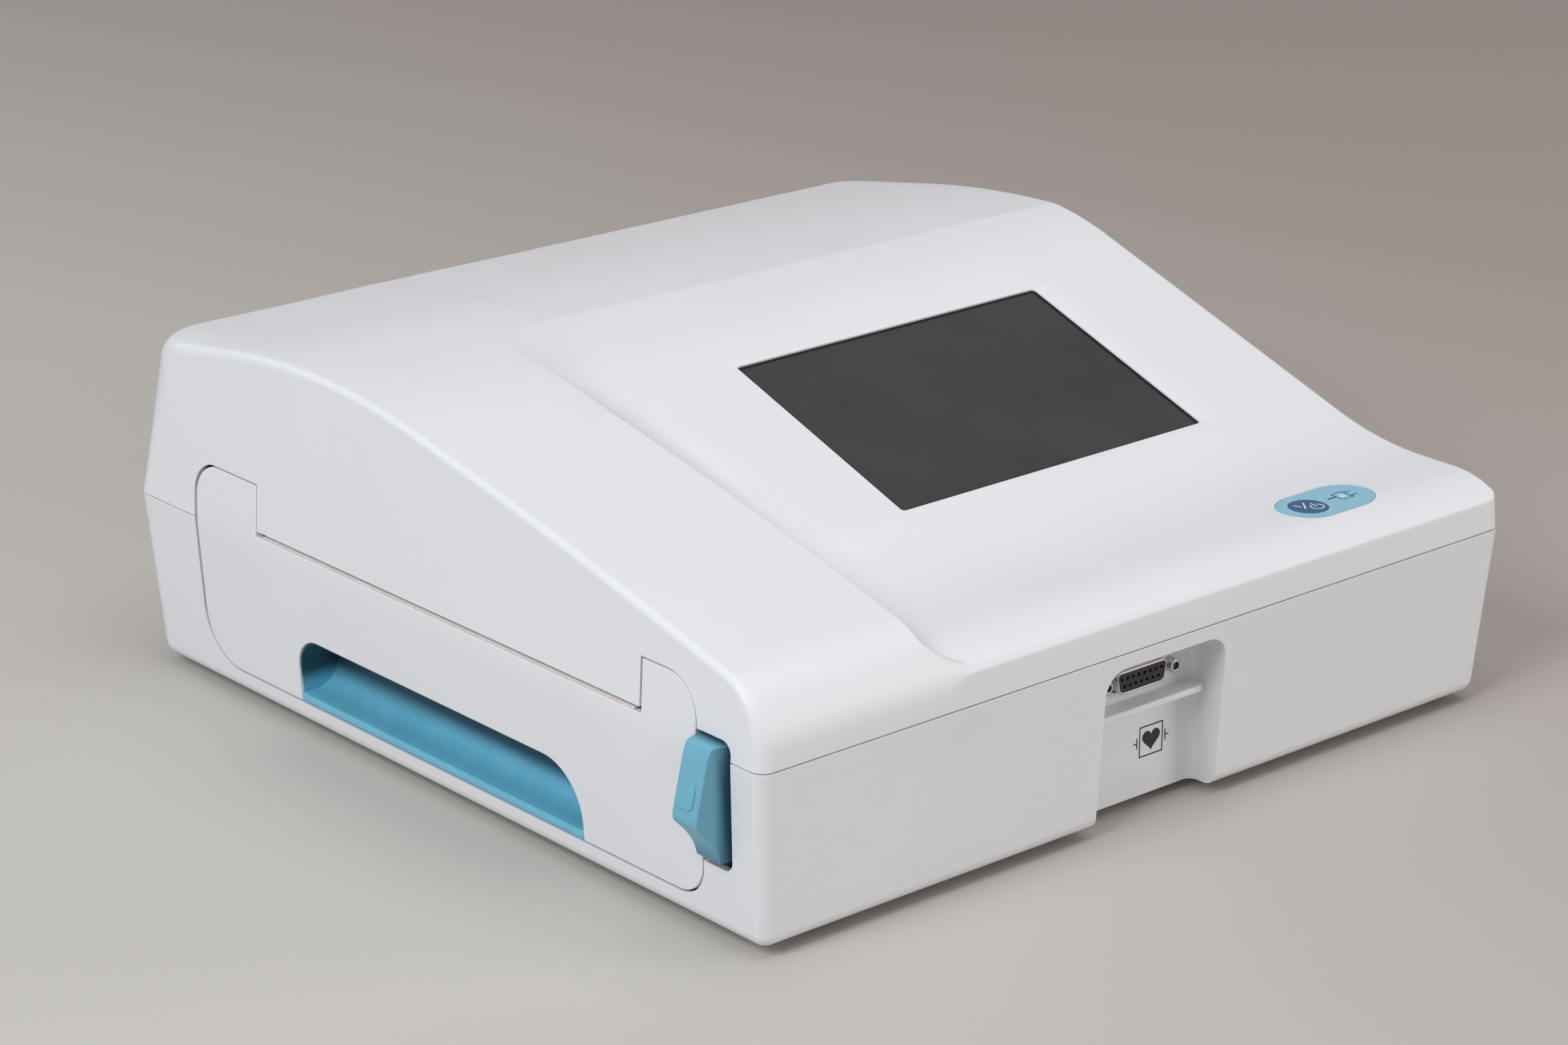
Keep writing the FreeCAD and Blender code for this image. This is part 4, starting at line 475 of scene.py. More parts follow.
def window_cut(inset, low, rate):
    """Cutter for the screen's window; it widens upwards from a depth."""
    high = 3.0
    grow = rate * (high - low)
    bm = prism(window_outline(inset), all_round(WINDOW_ROUND), "XY", low, high, steps=5)
    middle = ((WINDOW[0] + WINDOW[1]) / 2, (WINDOW[2] + WINDOW[3]) / 2)
    for vert in bm.verts:
        if vert.co.z > high - 0.1:
            for axis in (0, 1):
                vert.co[axis] += math.copysign(grow, vert.co[axis] - middle[axis])
    return on_panel(bm)


def film_box():
    """Lowest and highest corner of the film round the key."""
    reach = sizes().film_reach
    return FILM_LOW, (FILM_HIGH[0] + SKEW * reach, FILM_HIGH[1] + reach, FILM_HIGH[2])


def moved_back(spot):
    """Place of the key or lamp, a little behind its node."""
    shift = sizes().key_shift
    return spot[0] + SKEW * shift, spot[1] + shift


def socket_corners(grow):
    """D-shaped outline of the patient socket, wide at the top."""
    foot, head, half = 11.0 + grow, 12.5 + grow, 4.2 + grow
    return [
        (SOCKET_X - foot, SOCKET_Z - half), (SOCKET_X + foot, SOCKET_Z - half),
        (SOCKET_X + head, SOCKET_Z + half), (SOCKET_X - head, SOCKET_Z + half),
    ]


# Cover: profiles across the recorder, from the printer hump to the recessed panel

# Corners of the profiles, as y, z and, where there is a third number, the length of the blend
HUMP = [(66.0, 147.4, 60.0), (-75.0, 120.5, 50.0)]
HUMP_FRONT, HUMP_ROLL = 94.6, 19.5  # height and blend of the hump's front edge
DECK_FRONT, DECK_ROLL = 82.7, 2.6  # the same of the deck's
DECK_EDGE = (-170.0, PANEL_FOOT[1], 8.5)
CROWN_LEFT, CROWN_RIGHT = (100.2, 141.75, 28.0), (95.0, 142.3, 34.0)
CREASE_LEFT, CREASE_RIGHT = (64.0, 142.2), (52.0, 144.2)
CREASE = CREASE_LEFT[0]
CREASE_RISE = 0.13  # slope of the strip between the crease and the panel
CREASE_PLACE = 4  # its place in the row of corners
BACK_ROLL, CREASE_ROLL, STRIP_ROLL, FOOT_ROLL = 8.0, 0.5, 13.0, 22.0  # other blends
CROWN_X, CROWN_RUN = -70.0, 250.0  # the crown's left end, and its length to the right
BACK_TOP, BACK_FALL = 129.4, 0.0103  # height of the back edge, and its fall to the right
FLARE_START, FLARE_RUN = -172.0, 11.0
CROWN_STEPS = [i / 16 for i in range(16)] + [0.975, 0.993, 1.0]
SLOPE_STEPS = [0.0, 0.003, 0.01, 0.02, 0.035, 0.055, 0.08] + [0.11 + 0.89 * i / 34 for i in range(35)]


def between(first, second, share):
    """Numbers at a share of the way from one row to another."""
    return [a + share * (b - a) for a, b in zip(first, second)]


def front_top(z):
    """Cover's front face at a height."""
    return FRONT + math.tan(sizes().lean) * (z - sizes().seam)


def cover_foot(x, back_gap=0.0, top_gap=0.0):
    """Foot and back of every profile; the back edge falls to the right."""
    s = sizes()
    top = BACK_TOP - BACK_FALL * x
    back = BACK - math.tan(s.lean) * (top - s.seam) - top_gap
    return [(FRONT, PARTING, 0.0), (BACK - back_gap, PARTING, 0.0), (back, top, BACK_ROLL)]


def hump_corners(x, *gaps):
    """Profile over the printer hump."""
    return cover_foot(x, *gaps) + HUMP + [(front_top(HUMP_FRONT), HUMP_FRONT, HUMP_ROLL)]


def panel_corners(x, *gaps):
    """Profile with the recessed panel; the crown over it rises a little to the right."""
    part = min(max((x - CROWN_X) / CROWN_RUN, 0.0), 1.0)
    y, z = between(CREASE_LEFT, CREASE_RIGHT, part)
    foot_y, foot_z = PANEL_FOOT
    soft = (z - CREASE_RISE * y - foot_z + foot_y * PANEL_RISE) / (PANEL_RISE - CREASE_RISE)
    return cover_foot(x, *gaps) + [
        between(CROWN_LEFT, CROWN_RIGHT, part), (y, z, CREASE_ROLL),
        (soft, foot_z + (soft - foot_y) * PANEL_RISE, STRIP_ROLL), (foot_y, foot_z, FOOT_ROLL),
        DECK_EDGE, (front_top(DECK_FRONT), DECK_FRONT, DECK_ROLL),
    ]


def shrunk(corners, gaps):
    """Moves each run of a closed outline inwards by its own gap."""
    gentle, least = 0.5, 0.4  # turn in radians that counts as gentle, and the shortest blend
    count = len(corners)
    runs = []
    for i in range(count):
        y0, z0 = corners[i][:2]
        y1, z1 = corners[(i + 1) % count][:2]
        span = math.hypot(y1 - y0, z1 - z0)
        runs.append(((y1 - y0) / span, (z1 - z0) / span))
    inner = []
    for i in range(count):
        (ay, az), (by, bz) = runs[i - 1], runs[i]
        y, z, blend = corners[i]
        turn = math.atan2(ay * bz - az * by, ay * by + az * bz)
        before, after = gaps[i - 1], gaps[i]
        if abs(turn) < gentle:
            reach = after / (1 + ay * by + az * bz)
            y, z = y - reach * (az + bz), z + reach * (ay + by)
        else:
            slide = (before - after * math.cos(turn)) / math.sin(turn)
            y, z = y - after * bz + slide * by, z + after * by + slide * bz
        shorter = blend - after * math.tan(turn / 2)
        inner.append((y, z, max(shorter, least) if blend else 0.0))
    return inner


def corner_arc(before, corner, after, steps):
    """Points of one rounded corner."""
    y, z, blend = corner
    if not blend:
        return [(y, z)]
    into, out = math.dist(before[:2], (y, z)), math.dist(after[:2], (y, z))
    start = [c + (b - c) * blend / into for b, c in zip(before, (y, z))]
    end = [c + (a - c) * blend / out for a, c in zip(after, (y, z))]
    bend = ((y - before[0]) * (after[0] - y) + (z - before[1]) * (after[1] - z)) / (into * out)
    weight = math.sqrt(max((1 + bend) / 2, 0.01))
    points = []
    for step in range(steps + 1):
        t = step / steps
        a, b, c = (1 - t) ** 2, 2 * t * (1 - t) * weight, t**2
        points.append(tuple((a * p + b * q + c * r) / (a + b + c) for p, q, r in zip(start, (y, z), end)))
    return points


def along(points, parts):
    """Points at parts of a line's length."""
    tiny = 1e-9
    lengths = [0.0]
    for a, b in zip(points, points[1:]):
        lengths.append(lengths[-1] + math.dist(a, b))
    found = []
    for part in parts:
        want = part * lengths[-1]
        i = max(k for k in range(len(points) - 1) if lengths[k] <= want + tiny)
        t = (want - lengths[i]) / max(lengths[i + 1] - lengths[i], tiny)
        found.append(tuple(between(points[i], points[i + 1], t)))
    return found


def cover_profile(corners, split):
    """Points (y, z) of a rounded profile, equal in count for all; split is the y of the crease."""
    count = len(corners)
    steps = {2: 8, count - 1: 14}
    arcs = []
    for i in range(count):
        arcs.append(corner_arc(corners[i - 1], corners[i], corners[(i + 1) % count], steps.get(i, 24)))
    middle = [arcs[2][-1], *[point for one in arcs[3:-1] for point in one], arcs[-1][0]]
    i = next(k for k in range(len(middle) - 1) if middle[k + 1][0] < split)
    t = (middle[i][0] - split) / (middle[i][0] - middle[i + 1][0])
    crease = (split, middle[i][1] + t * (middle[i + 1][1] - middle[i][1]))
    crown = along([*middle[: i + 1], crease], CROWN_STEPS)
    below = along([crease, *middle[i + 1 :]], SLOPE_STEPS)
    return [*arcs[0], *arcs[1], *arcs[2], *crown[1:], *below[1:-1], *arcs[-1]]


def smooth(t):
    t = min(max(t, 0.0), 1.0)
    return t * t * (3 - 2 * t)


def fillet(radius, inset):
    """How far a rounded corner stands back at an inset from its side."""
    return radius - math.sqrt(radius**2 - (radius - inset) ** 2) if inset < radius else 0.0


def held_back(y, limit, soft):
    """Keeps a point behind a limit, with a soft turn."""
    over = y - limit
    return limit + (over + math.sqrt(over**2 + soft**2)) / 2 if soft else y


def recess_edge(y):
    """Recess's left edge in plan: rounded into the crown and flared at the front."""
    s = sizes()
    x, radius = LEFT + s.recess, s.recess_corner
    reach = min(max(y - CREASE + radius, 0.0), radius)
    flare = s.flare * smooth((FLARE_START - y) / FLARE_RUN)
    return x + radius - math.sqrt(radius**2 - reach**2) + flare


def recess_wall(y):
    """Width of the recess wall, which narrows to the front."""
    start, run, loss = -90.0, 80.0, 0.5
    return sizes().shoulder * (1 - loss * smooth((start - y) / run))


def side_loops(way, insets, corners_at):
    """Loops near one end of the cover, where its edges and corners round off; way is 1 at the left."""
    s = sizes()
    left = way > 0
    back_corner = s.back_corner * (1.0 if left else 0.6)
    loops = []
    for inset in insets:
        x = (LEFT if left else RIGHT) + way * inset
        corners = corners_at(x, fillet(s.back_foot, inset), fillet(back_corner, inset))
        gap, edge = fillet(s.corner, inset), fillet(s.edge, inset)
        corners = shrunk(corners, [0.0, 0.0, *[edge] * (len(corners) - 3), gap if left else 0.0])
        points = cover_profile(corners, CREASE if left else corners[CREASE_PLACE][0])
        if not left:
            points = [(held_back(y, front_top(z) + gap, min(gap, s.edge)), z) for y, z in points]
        loops.append([Vector((x + way * math.tan(s.lean) * (z - s.seam), y, z)) for y, z in points])
    return loops


def cover_sections():
    """Closed loops of points across the cover, left to right."""
    s = sizes()
    insets = [s.edge * (1 - math.cos(math.radians(a))) for a in range(0, 91, 15)]
    insets += [3.2, 4.2, s.corner, 7.0, s.back_foot, 11.0, 13.5, 16.5, 20.0, s.back_corner]
    loops = side_loops(1, insets, hump_corners)
    hump = cover_profile(hump_corners(LEFT + s.recess), CREASE)
    loops.append([Vector((LEFT + 0.82 * s.recess, y, z)) for y, z in hump])
    panel = cover_profile(panel_corners(CROWN_X), CREASE)
    count, bulge = 14, 2.3
    for step in range(count + 1):
        part = step / count
        share = 1 - (1 - part) ** bulge
        mixed = [between(a, b, share) for a, b in zip(hump, panel)]
        loops.append([Vector((recess_edge(y) + part * recess_wall(y), y, z)) for y, z in mixed])
    for x in (0.0, 70.0, 135.0):
        corners = panel_corners(x)
        loops.append([Vector((x, y, z)) for y, z in cover_profile(corners, corners[CREASE_PLACE][0])])
    return loops + side_loops(-1, insets[::-1], panel_corners)


def loft(loops):
    """Skin through closed loops of equal count, capped at both ends."""
    bm = bmesh.new()
    verts = [bm.verts.new(spot) for spot in loops[0]]
    edges = list(bm.faces.new(verts).edges)
    for loop in loops[1:]:
        grown = bmesh.ops.extrude_edge_only(bm, edges=edges)["geom"]
        where = {tuple(item.co): item for item in grown if isinstance(item, bmesh.types.BMVert)}
        verts = [where[tuple(vert.co)] for vert in verts]
        edges = [item for item in grown if isinstance(item, bmesh.types.BMEdge)]
        for vert, spot in zip(verts, loop):
            vert.co = spot
    bm.faces.new(verts)
    bmesh.ops.recalc_face_normals(bm, faces=bm.faces)
    return bm


# Finishes

MOTTLE_RANGE = (0.3, 0.7)  # values of the noise that the tint and the gloss are spread over
MIX_FIRST, MIX_SECOND, MIX_RESULT = 6, 7, 2  # places of the colour sockets of a Mix node
FINISHES = {}


def set_inputs(node, **values):
    """Sets inputs of a node by name, with underscores for spaces."""
    for name, value in values.items():
        node.inputs[name.replace("_", " ")].default_value = value


def moulded_group():
    """Shared effect: fine moulded grain and broad, faint mottling."""
    found = bpy.data.node_groups.get("moulded grain")
    if found:
        return found
    group = bpy.data.node_groups.new("moulded grain", "ShaderNodeTree")
    for way, names in (("INPUT", ("Grain", "Mottle Scale")), ("OUTPUT", ("Height", "Mottle"))):
        for name in names:
            group.interface.new_socket(name=name, in_out=way, socket_type="NodeSocketFloat")
    nodes, links = group.nodes, group.links
    start, end = nodes.new("NodeGroupInput"), nodes.new("NodeGroupOutput")
    place = nodes.new("ShaderNodeTexCoord")
    grain, mottle = nodes.new("ShaderNodeTexNoise"), nodes.new("ShaderNodeTexNoise")
    set_inputs(grain, Detail=3.0)
    set_inputs(mottle, Detail=5.0, Roughness=0.6)
    for texture, scale in ((grain, "Grain"), (mottle, "Mottle Scale")):
        links.new(place.outputs["Object"], texture.inputs["Vector"])
        links.new(start.outputs[scale], texture.inputs["Scale"])
    links.new(grain.outputs["Fac"], end.inputs["Height"])
    links.new(mottle.outputs["Fac"], end.inputs["Mottle"])
    return group


def ranged(tree, source, limits, reach=(0.0, 1.0), kind="LINEAR"):
    """Value of a socket between two limits, carried to a reach."""
    node = tree.nodes.new("ShaderNodeMapRange")
    node.interpolation_type = kind
    set_inputs(node, From_Min=limits[0], From_Max=limits[1], To_Min=reach[0], To_Max=reach[1])
    tree.links.new(source, node.inputs["Value"])
    return node.outputs["Result"]


def blended(tree, share, first, second):
    """Colour between two, by a share; the first may be a socket."""
    node = tree.nodes.new("ShaderNodeMix")
    node.data_type = "RGBA"
    tree.links.new(share, node.inputs["Factor"])
    if isinstance(first, bpy.types.NodeSocket):
        tree.links.new(first, node.inputs[MIX_FIRST])
    else:
        node.inputs[MIX_FIRST].default_value = (*first, 1)
    node.inputs[MIX_SECOND].default_value = (*second, 1)
    return node.outputs[MIX_RESULT]


def with_painted_shade(tree, tint, way, start, end, beyond):
    """Tint that passes to a darker colour beyond, between two distances along a direction: painted shade
    where light falls off.
    """
    place = tree.nodes.new("ShaderNodeTexCoord")
    reach = tree.nodes.new("ShaderNodeVectorMath")
    reach.operation = "DOT_PRODUCT"
    reach.inputs[1].default_value = way
    tree.links.new(place.outputs["Object"], reach.inputs[0])
    share = ranged(tree, reach.outputs["Value"], (start, end), kind="SMOOTHSTEP")
    return blended(tree, share, tint, beyond)


def dashed(tree, tint, ink):
    """Tint with a broken line of print along Y."""
    place = tree.nodes.new("ShaderNodeTexCoord")
    waves, patches = tree.nodes.new("ShaderNodeTexWave"), tree.nodes.new("ShaderNodeTexNoise")
    waves.bands_direction = "Y"
    both = tree.nodes.new("ShaderNodeMath")
    both.operation = "MULTIPLY"
    for texture, scale, factor in ((waves, 240.0, 0), (patches, 70.0, 1)):
        set_inputs(texture, Scale=scale)
        tree.links.new(place.outputs["Object"], texture.inputs["Vector"])
        tree.links.new(texture.outputs["Fac"], both.inputs[factor])
    share = ranged(tree, both.outputs["Value"], (0.22, 0.42), (0.0, 0.75))
    return blended(tree, share, tint, ink)


def finish(
    name, base, roughness=0.45, metal=0.0, grain=2600.0, bump=0.12, mottle=18.0, shade=0.93, spread=0.08,
    painted_shade=None, dash=None,
):
    """Material with fine grain, faint mottling of its colour and an uneven gloss.

    A painted shade is a direction, two distances along it and the darker colour beyond them, painted in
    where light falls off. A dash is a colour of print.
    """
    material = bpy.data.materials.new(name)
    material.use_nodes = True
    tree = material.node_tree
    shader = tree.nodes["Principled BSDF"]
    set_inputs(shader, Metallic=metal)
    effect = tree.nodes.new("ShaderNodeGroup")
    effect.node_tree = moulded_group()
    set_inputs(effect, Grain=grain, Mottle_Scale=mottle)
    cloud = effect.outputs["Mottle"]
    tint = blended(tree, ranged(tree, cloud, MOTTLE_RANGE), [v * shade for v in base], base)
    if painted_shade is not None:
        tint = with_painted_shade(tree, tint, *painted_shade)
    if dash is not None:
        tint = dashed(tree, tint, dash)
    tree.links.new(tint, shader.inputs["Base Color"])
    gloss = ranged(tree, cloud, MOTTLE_RANGE, (roughness - spread / 2, roughness + spread / 2))
    tree.links.new(gloss, shader.inputs["Roughness"])
    relief = tree.nodes.new("ShaderNodeBump")
    set_inputs(relief, Strength=bump, Distance=0.1 * MM)
    tree.links.new(effect.outputs["Height"], relief.inputs["Height"])
    tree.links.new(relief.outputs["Normal"], shader.inputs["Normal"])
    return material


def finish_rows():
    """Name, colour, roughness and other values of each finish, by slot or mark."""
    c = colours()
    # Painted shade on the lever, darker towards the wall in its pocket
    lever_shade_painting = ((1, 0, 0), MM * (LEFT - 4.5), MM * (LEFT + 1.5), c.lever_painted_shade)
    # Painted shade high inside the finger scoop, darker upwards
    scoop_shade_painting = ((0, 0, 1), MM * 18.0, MM * 25.5, c.scoop_painted_shade)
    return {
        "white_shell": ("white shell", c.shell, 0.42, dict(shade=0.985)),
        "blue_lever": ("blue lever", c.lever, 0.40, dict(shade=0.95, painted_shade=lever_shade_painting)),
        "blue_scoop": ("blue scoop", c.scoop, 0.46, dict(shade=0.90, mottle=60.0, painted_shade=scoop_shade_painting)),
        "screen_glass": ("screen", c.screen, 0.33, dict(bump=0.02, shade=0.88, mottle=22.0, spread=0.14)),
        "display_metal": ("sheet metal", (0.52, 0.53, 0.54), 0.38, dict(metal=1.0, grain=900.0)),
        "overlay_film": ("overlay film", c.film, 0.36, dict(shade=0.96)),
        "key_blue": ("key film", c.key, 0.36, dict(shade=0.92)),
        "lamp_lens": ("lamp lens", (0.68, 0.76, 0.80), 0.2, dict(bump=0.0, shade=0.96)),
        "board_green": ("solder mask", (0.015, 0.09, 0.035), 0.35, dict(mottle=140.0, shade=0.6)),
        "black_plastic": ("black plastic", (0.014, 0.014, 0.015), 0.42, dict(shade=0.7)),
        "plated_steel": ("plated steel", (0.60, 0.59, 0.57), 0.27, dict(metal=1.0, grain=1500.0, shade=0.9)),
        "heat_sink": ("extruded aluminium", (0.42, 0.43, 0.44), 0.4, dict(metal=1.0, grain=700.0)),
        "grey_plastic": ("grey plastic", (0.23, 0.24, 0.25), 0.5, {}),
        "paper": ("chart paper", (0.84, 0.80, 0.78), 0.7, dict(grain=1500.0, shade=0.97)),
        "printed_edge": ("printed edge", (0.88, 0.84, 0.82), 0.7, dict(grain=1500.0, dash=c.dash)),
        "ceramic": ("glazed ceramic", (0.52, 0.50, 0.44), 0.25, {}),
        "gear_nylon": ("gear nylon", (0.78, 0.76, 0.68), 0.45, {}),
        "brass": ("brass", (0.60, 0.43, 0.16), 0.3, dict(metal=1.0)),
        "rubber": ("rubber", (0.018, 0.018, 0.02), 0.75, dict(grain=1800.0, bump=0.3)),
        "mark_white": ("white ink", (0.82, 0.86, 0.88), 0.4, dict(bump=0.0, shade=0.98)),
        "battery_wrap": ("battery wrap", (0.035, 0.09, 0.26), 0.3, {}),
    }


def finish_for(slot):
    """Finish of a material slot or mark, made once."""
    if slot not in FINISHES:
        name, base, roughness, more = finish_rows()[slot]
        FINISHES[slot] = finish(name, base, roughness, **more)
    return FINISHES[slot]


# Pieces


class RECORDER_OT_finishes(bpy.types.Operator):
    """Gives every CAD node the finish of its slot"""

    bl_idname = "recorder.finishes"
    bl_label = "Finish CAD Nodes"

    def execute(self, context):
        for entry in frame["record"]["subparts"]:
            node = frame["nodes"][entry["node"]]
            node.data.materials.clear()
            node.data.materials.append(finish_for(entry["material_slot"]))
        return {"FINISHED"}


class RECORDER_OT_cover(bpy.types.Operator):
    """Top cover with its openings"""

    bl_idname = "recorder.cover"
    bl_label = "Top Cover"

    def execute(self, context):
        s = sizes()
        bm = loft(cover_sections())
        under = [f for f in bm.faces if f.normal.z < -0.9 and f.calc_center_median().z < PARTING + 0.1]
        bmesh.ops.delete(bm, geom=under, context="FACES")
        bm = shelled(bm, s.skin)
        soften(bm, SEAM_ROUND, near("Z", PARTING))
        low, high = film_box()
        gap = 0.25
        sink = oval((low[0] - gap, high[0] + gap), (low[1] - gap, high[1] + gap), (low[2], low[2] + 6))
        key_hole = rod("Z", moved_back(KEY_SPOT), KEY_HOLE + 0.1, low[2] - 8, low[2] + 1)
        straight, steep, wide = (0.0, -12.0, 0.0), (0.02, -0.93, 0.414), (0.03, -0.385, 2.414)
        window = [window_cut(*values) for values in (straight, steep, wide)]
        bm = combine("DIFFERENCE", bm, door_cut(), pocket_cut(), *window, sink, key_hole)
        soften(bm, s.rim, on_left_wall, 3)

        def round_film(spot):
            beside = low[0] - 1 < spot.x < high[0] + 1 and spot.y < high[1] + 1
            return beside and low[2] + 0.5 < spot.z < low[2] + 1.2

        soften(bm, s.rim, round_film)
        piece("top_cover_shell", bm, "housing", "white_shell", "top_cover")
        return {"FINISHED"}


def tub(gap, low, high):
    """Drafted block of the case: it narrows downwards from the seam."""
    s = sizes()
    bm = block((LEFT + gap, RIGHT - gap), (FRONT + gap, BACK - gap), (low, high))
    for way, radius in ((-1, s.corner), (1, s.back_foot)):
        ends = edges_where(bm, lambda spot: way * spot.y > 0)
        bevel(bm, [e for e in ends if abs(e.verts[0].co.z - e.verts[1].co.z) > 1], radius - gap, 10)
    for vert in bm.verts:
        inward = math.tan(s.draft) * (s.seam - vert.co.z)
        for axis, centre in enumerate(((LEFT + RIGHT) / 2, (FRONT + BACK) / 2)):
            vert.co[axis] -= math.copysign(1, vert.co[axis] - centre) * inward
    return bm


def four_spots(node, inset):
    """Places inside the four corners of a node's box, in plan."""
    low, high = node_box(node)
    return [(x, y) for x in (low[0] + inset, high[0] - inset) for y in (low[1] + inset, high[1] - inset)]


def rear_blocks(wall):
    """Walls and opening of the bay in the back, as cutters for the case's inside and outside."""
    low, high = node_box("rear_panel")
    walls = block((low[0] - wall, high[0] + wall), (low[1], BACK + 5), (FOOT - 3, high[2] + wall))
    opening = block((low[0], high[0]), (low[1] - 4, BACK + 6), (low[2], high[2]))
    return walls, opening


class RECORDER_OT_case(bpy.types.Operator):
    """Bottom case with the patient socket's bay, the pocket and the openings"""

    bl_idname = "recorder.case"
    bl_label = "Bottom Case"

    def execute(self, context):
        s = sizes()
        outside = tub(0.0, FOOT, s.seam)
        bevel(outside, edges_where(outside, near("Z", s.seam)), SEAM_ROUND)
        bevel(outside, edges_where(outside, near("Z", FOOT)), s.floor_edge, 6)
        wall = 2.5
        bay_walls = block(
            (BAY_LEFT - wall, BAY_RIGHT + wall), (FRONT - 5, BAY_BACK + wall), (FOOT - 3, BAY_TOP + wall)
        )
        rear_walls, rear = rear_blocks(wall)
        inside = combine("DIFFERENCE", tub(s.wall, FOOT + s.wall, s.seam + 4), bay_walls, rear_walls)
        bay = prism(rectangle(BAY_LEFT, BAY_RIGHT, -5, BAY_TOP), {2: 9.0, 3: 9.0}, "XZ", FRONT - 6, BAY_BACK)
        bevel(bay, edges_where(bay, near("Y", BAY_BACK)), 3.6, 6)
        low, high = node_box("battery_door")
        gap, below = 0.3, -2.0
        sink = block((low[0] - gap, high[0] + gap), (low[1] - gap, high[1] + gap), (below, high[2]))
        head, foot, foot_top = 3.6, 8.0, node_box("feet")[1][2]
        screws, feet = four_spots("case_screws", head), four_spots("feet", foot)
        holes = [rod("Z", spot, head + 0.5, below, FOOT + 3.5, 32) for spot in screws]
        holes += [rod("Z", spot, foot + 0.02, below, foot_top) for spot in feet]
        through = (BAY_BACK - 3, BAY_BACK + 9)
        holes += [rod("Y", (x, JACK_Z), JACK_RADIUS + 0.02, *through, 32) for x in JACK_SPOTS]
        shell = prism(socket_corners(0.5), all_round(2.4), "XZ", *through)
        bm = combine(
            "DIFFERENCE", outside, inside, bay, door_cut(), pocket_cut(), rear, sink, shell, *holes
        )
        soften(bm, s.rim, on_left_wall, 3)

        def on_front(spot):
            beside = BAY_LEFT - 1 < spot.x < BAY_RIGHT + 1 and spot.z > FOOT + 4.2
            return beside and abs(spot.y - front_y(spot.z)) < 0.05

        soften(bm, 2.2, on_front, 5)
        set_in, depth, bottom, top = 2.4, 8.2, 40.4, 43.0
        corners = rectangle(BAY_LEFT + set_in, BAY_RIGHT - set_in, BAY_BACK - depth, BAY_BACK + 1)
        ledge = prism(corners, {0: 2.5, 1: 2.5}, "XY", bottom, top)
        soften(ledge, 0.7, lambda spot: spot.y < BAY_BACK - 0.1, 3)
        bm = combine("UNION", bm, ledge)
        piece("bottom_case_shell", bm, "housing", "white_shell", "bottom_case")
        return {"FINISHED"}


class RECORDER_OT_door(bpy.types.Operator):
    """Printer door, which follows both shells' walls"""

    bl_idname = "recorder.door"
    bl_label = "Printer Door"

    def execute(self, context):
        s = sizes()
        bm = prism(door_corners(0.0, s.slot), DOOR_ROUNDS, "YZ", LEFT, LEFT + s.wall, steps=12)
        bm = combine("DIFFERENCE", bm, scoop_block(0.0, DOOR_LOW - 5, LEFT - 8, LEFT + 20))
        soften(bm, s.rim, near("X", LEFT), 3)
        soft = 6.0
        for step in (-1.0, -0.5, 0.0, 0.5, 1.0):
            everything = [*bm.verts, *bm.edges, *bm.faces]
            level = s.seam + step * soft
            bmesh.ops.bisect_plane(bm, geom=everything, plane_co=(0, 0, level), plane_no=(0, 0, 1))
        down, up = math.tan(s.draft), math.tan(s.lean)
        for vert in bm.verts:
            t = (vert.co.z - s.seam) / soft
            if abs(t) < 1:
                vert.co.x += soft * ((up + down) * (t + 1) ** 2 / 4 - down * t)
            else:
                vert.co.x += side_x(vert.co.z) - LEFT
        piece("printer_door", bm, "tray", "white_shell", "door_panel")
        return {"FINISHED"}


class RECORDER_OT_scoop(bpy.types.Operator):
    """Blue finger scoop behind the door's window, with its lip"""

    bl_idname = "recorder.scoop"
    bl_label = "Finger Scoop"

    def execute(self, context):
        lip_top, lip_end, end = DOOR_LOW + 3.6, LEFT + 9, SCOOP_END - SCOOP_WALL
        outer = scoop_block(SCOOP_WALL, DOOR_LOW, LEFT + 6.8, SCOOP_END)
        gap = 0.25
        corners = rectangle(SCOOP_FRONT + SCOOP_WALL + gap, SCOOP_BACK - gap, DOOR_LOW, lip_top)
        lip = onto_wall(prism(corners, {}, "YZ", LEFT, lip_end), 0.15)
        soften(lip, 0.7, lambda spot: spot.x < LEFT + 6, 3)
        sleeve = onto_wall(scoop_block(-0.1, lip_top - 1, LEFT, lip_end), 0.9)
        body = combine("UNION", outer, lip, sleeve)
        hollow = scoop_block(-0.7, lip_top - 0.3, LEFT - 10, end)
        inner_floor = edges_where(hollow, lambda spot: abs(spot.x - end) < NEAR and spot.z < lip_top + 0.1)
        bevel(hollow, inner_floor, 11.0, 10, clamp=False)
        bm = combine("DIFFERENCE", body, hollow)
        piece("scoop_bucket", bm, "tray", "blue_scoop", "finger_scoop")
        return {"FINISHED"}


class RECORDER_OT_paper(bpy.types.Operator):
    """Edge of the sheets that shows in the slot over the door"""

    bl_idname = "recorder.paper"
    bl_label = "Paper Edge"

    def execute(self, context):
        low, high = node_box("paper_lead")
        level, edge = sizes().slot, LEFT + 0.7
        bm = block((edge, edge + 1.0), (low[1], high[1]), (level + 0.1, level + 0.65))
        soften(bm, 0.12, near("X", edge))
        piece("paper_edge", bm, "tray", "paper", look="printed_edge")
        return {"FINISHED"}


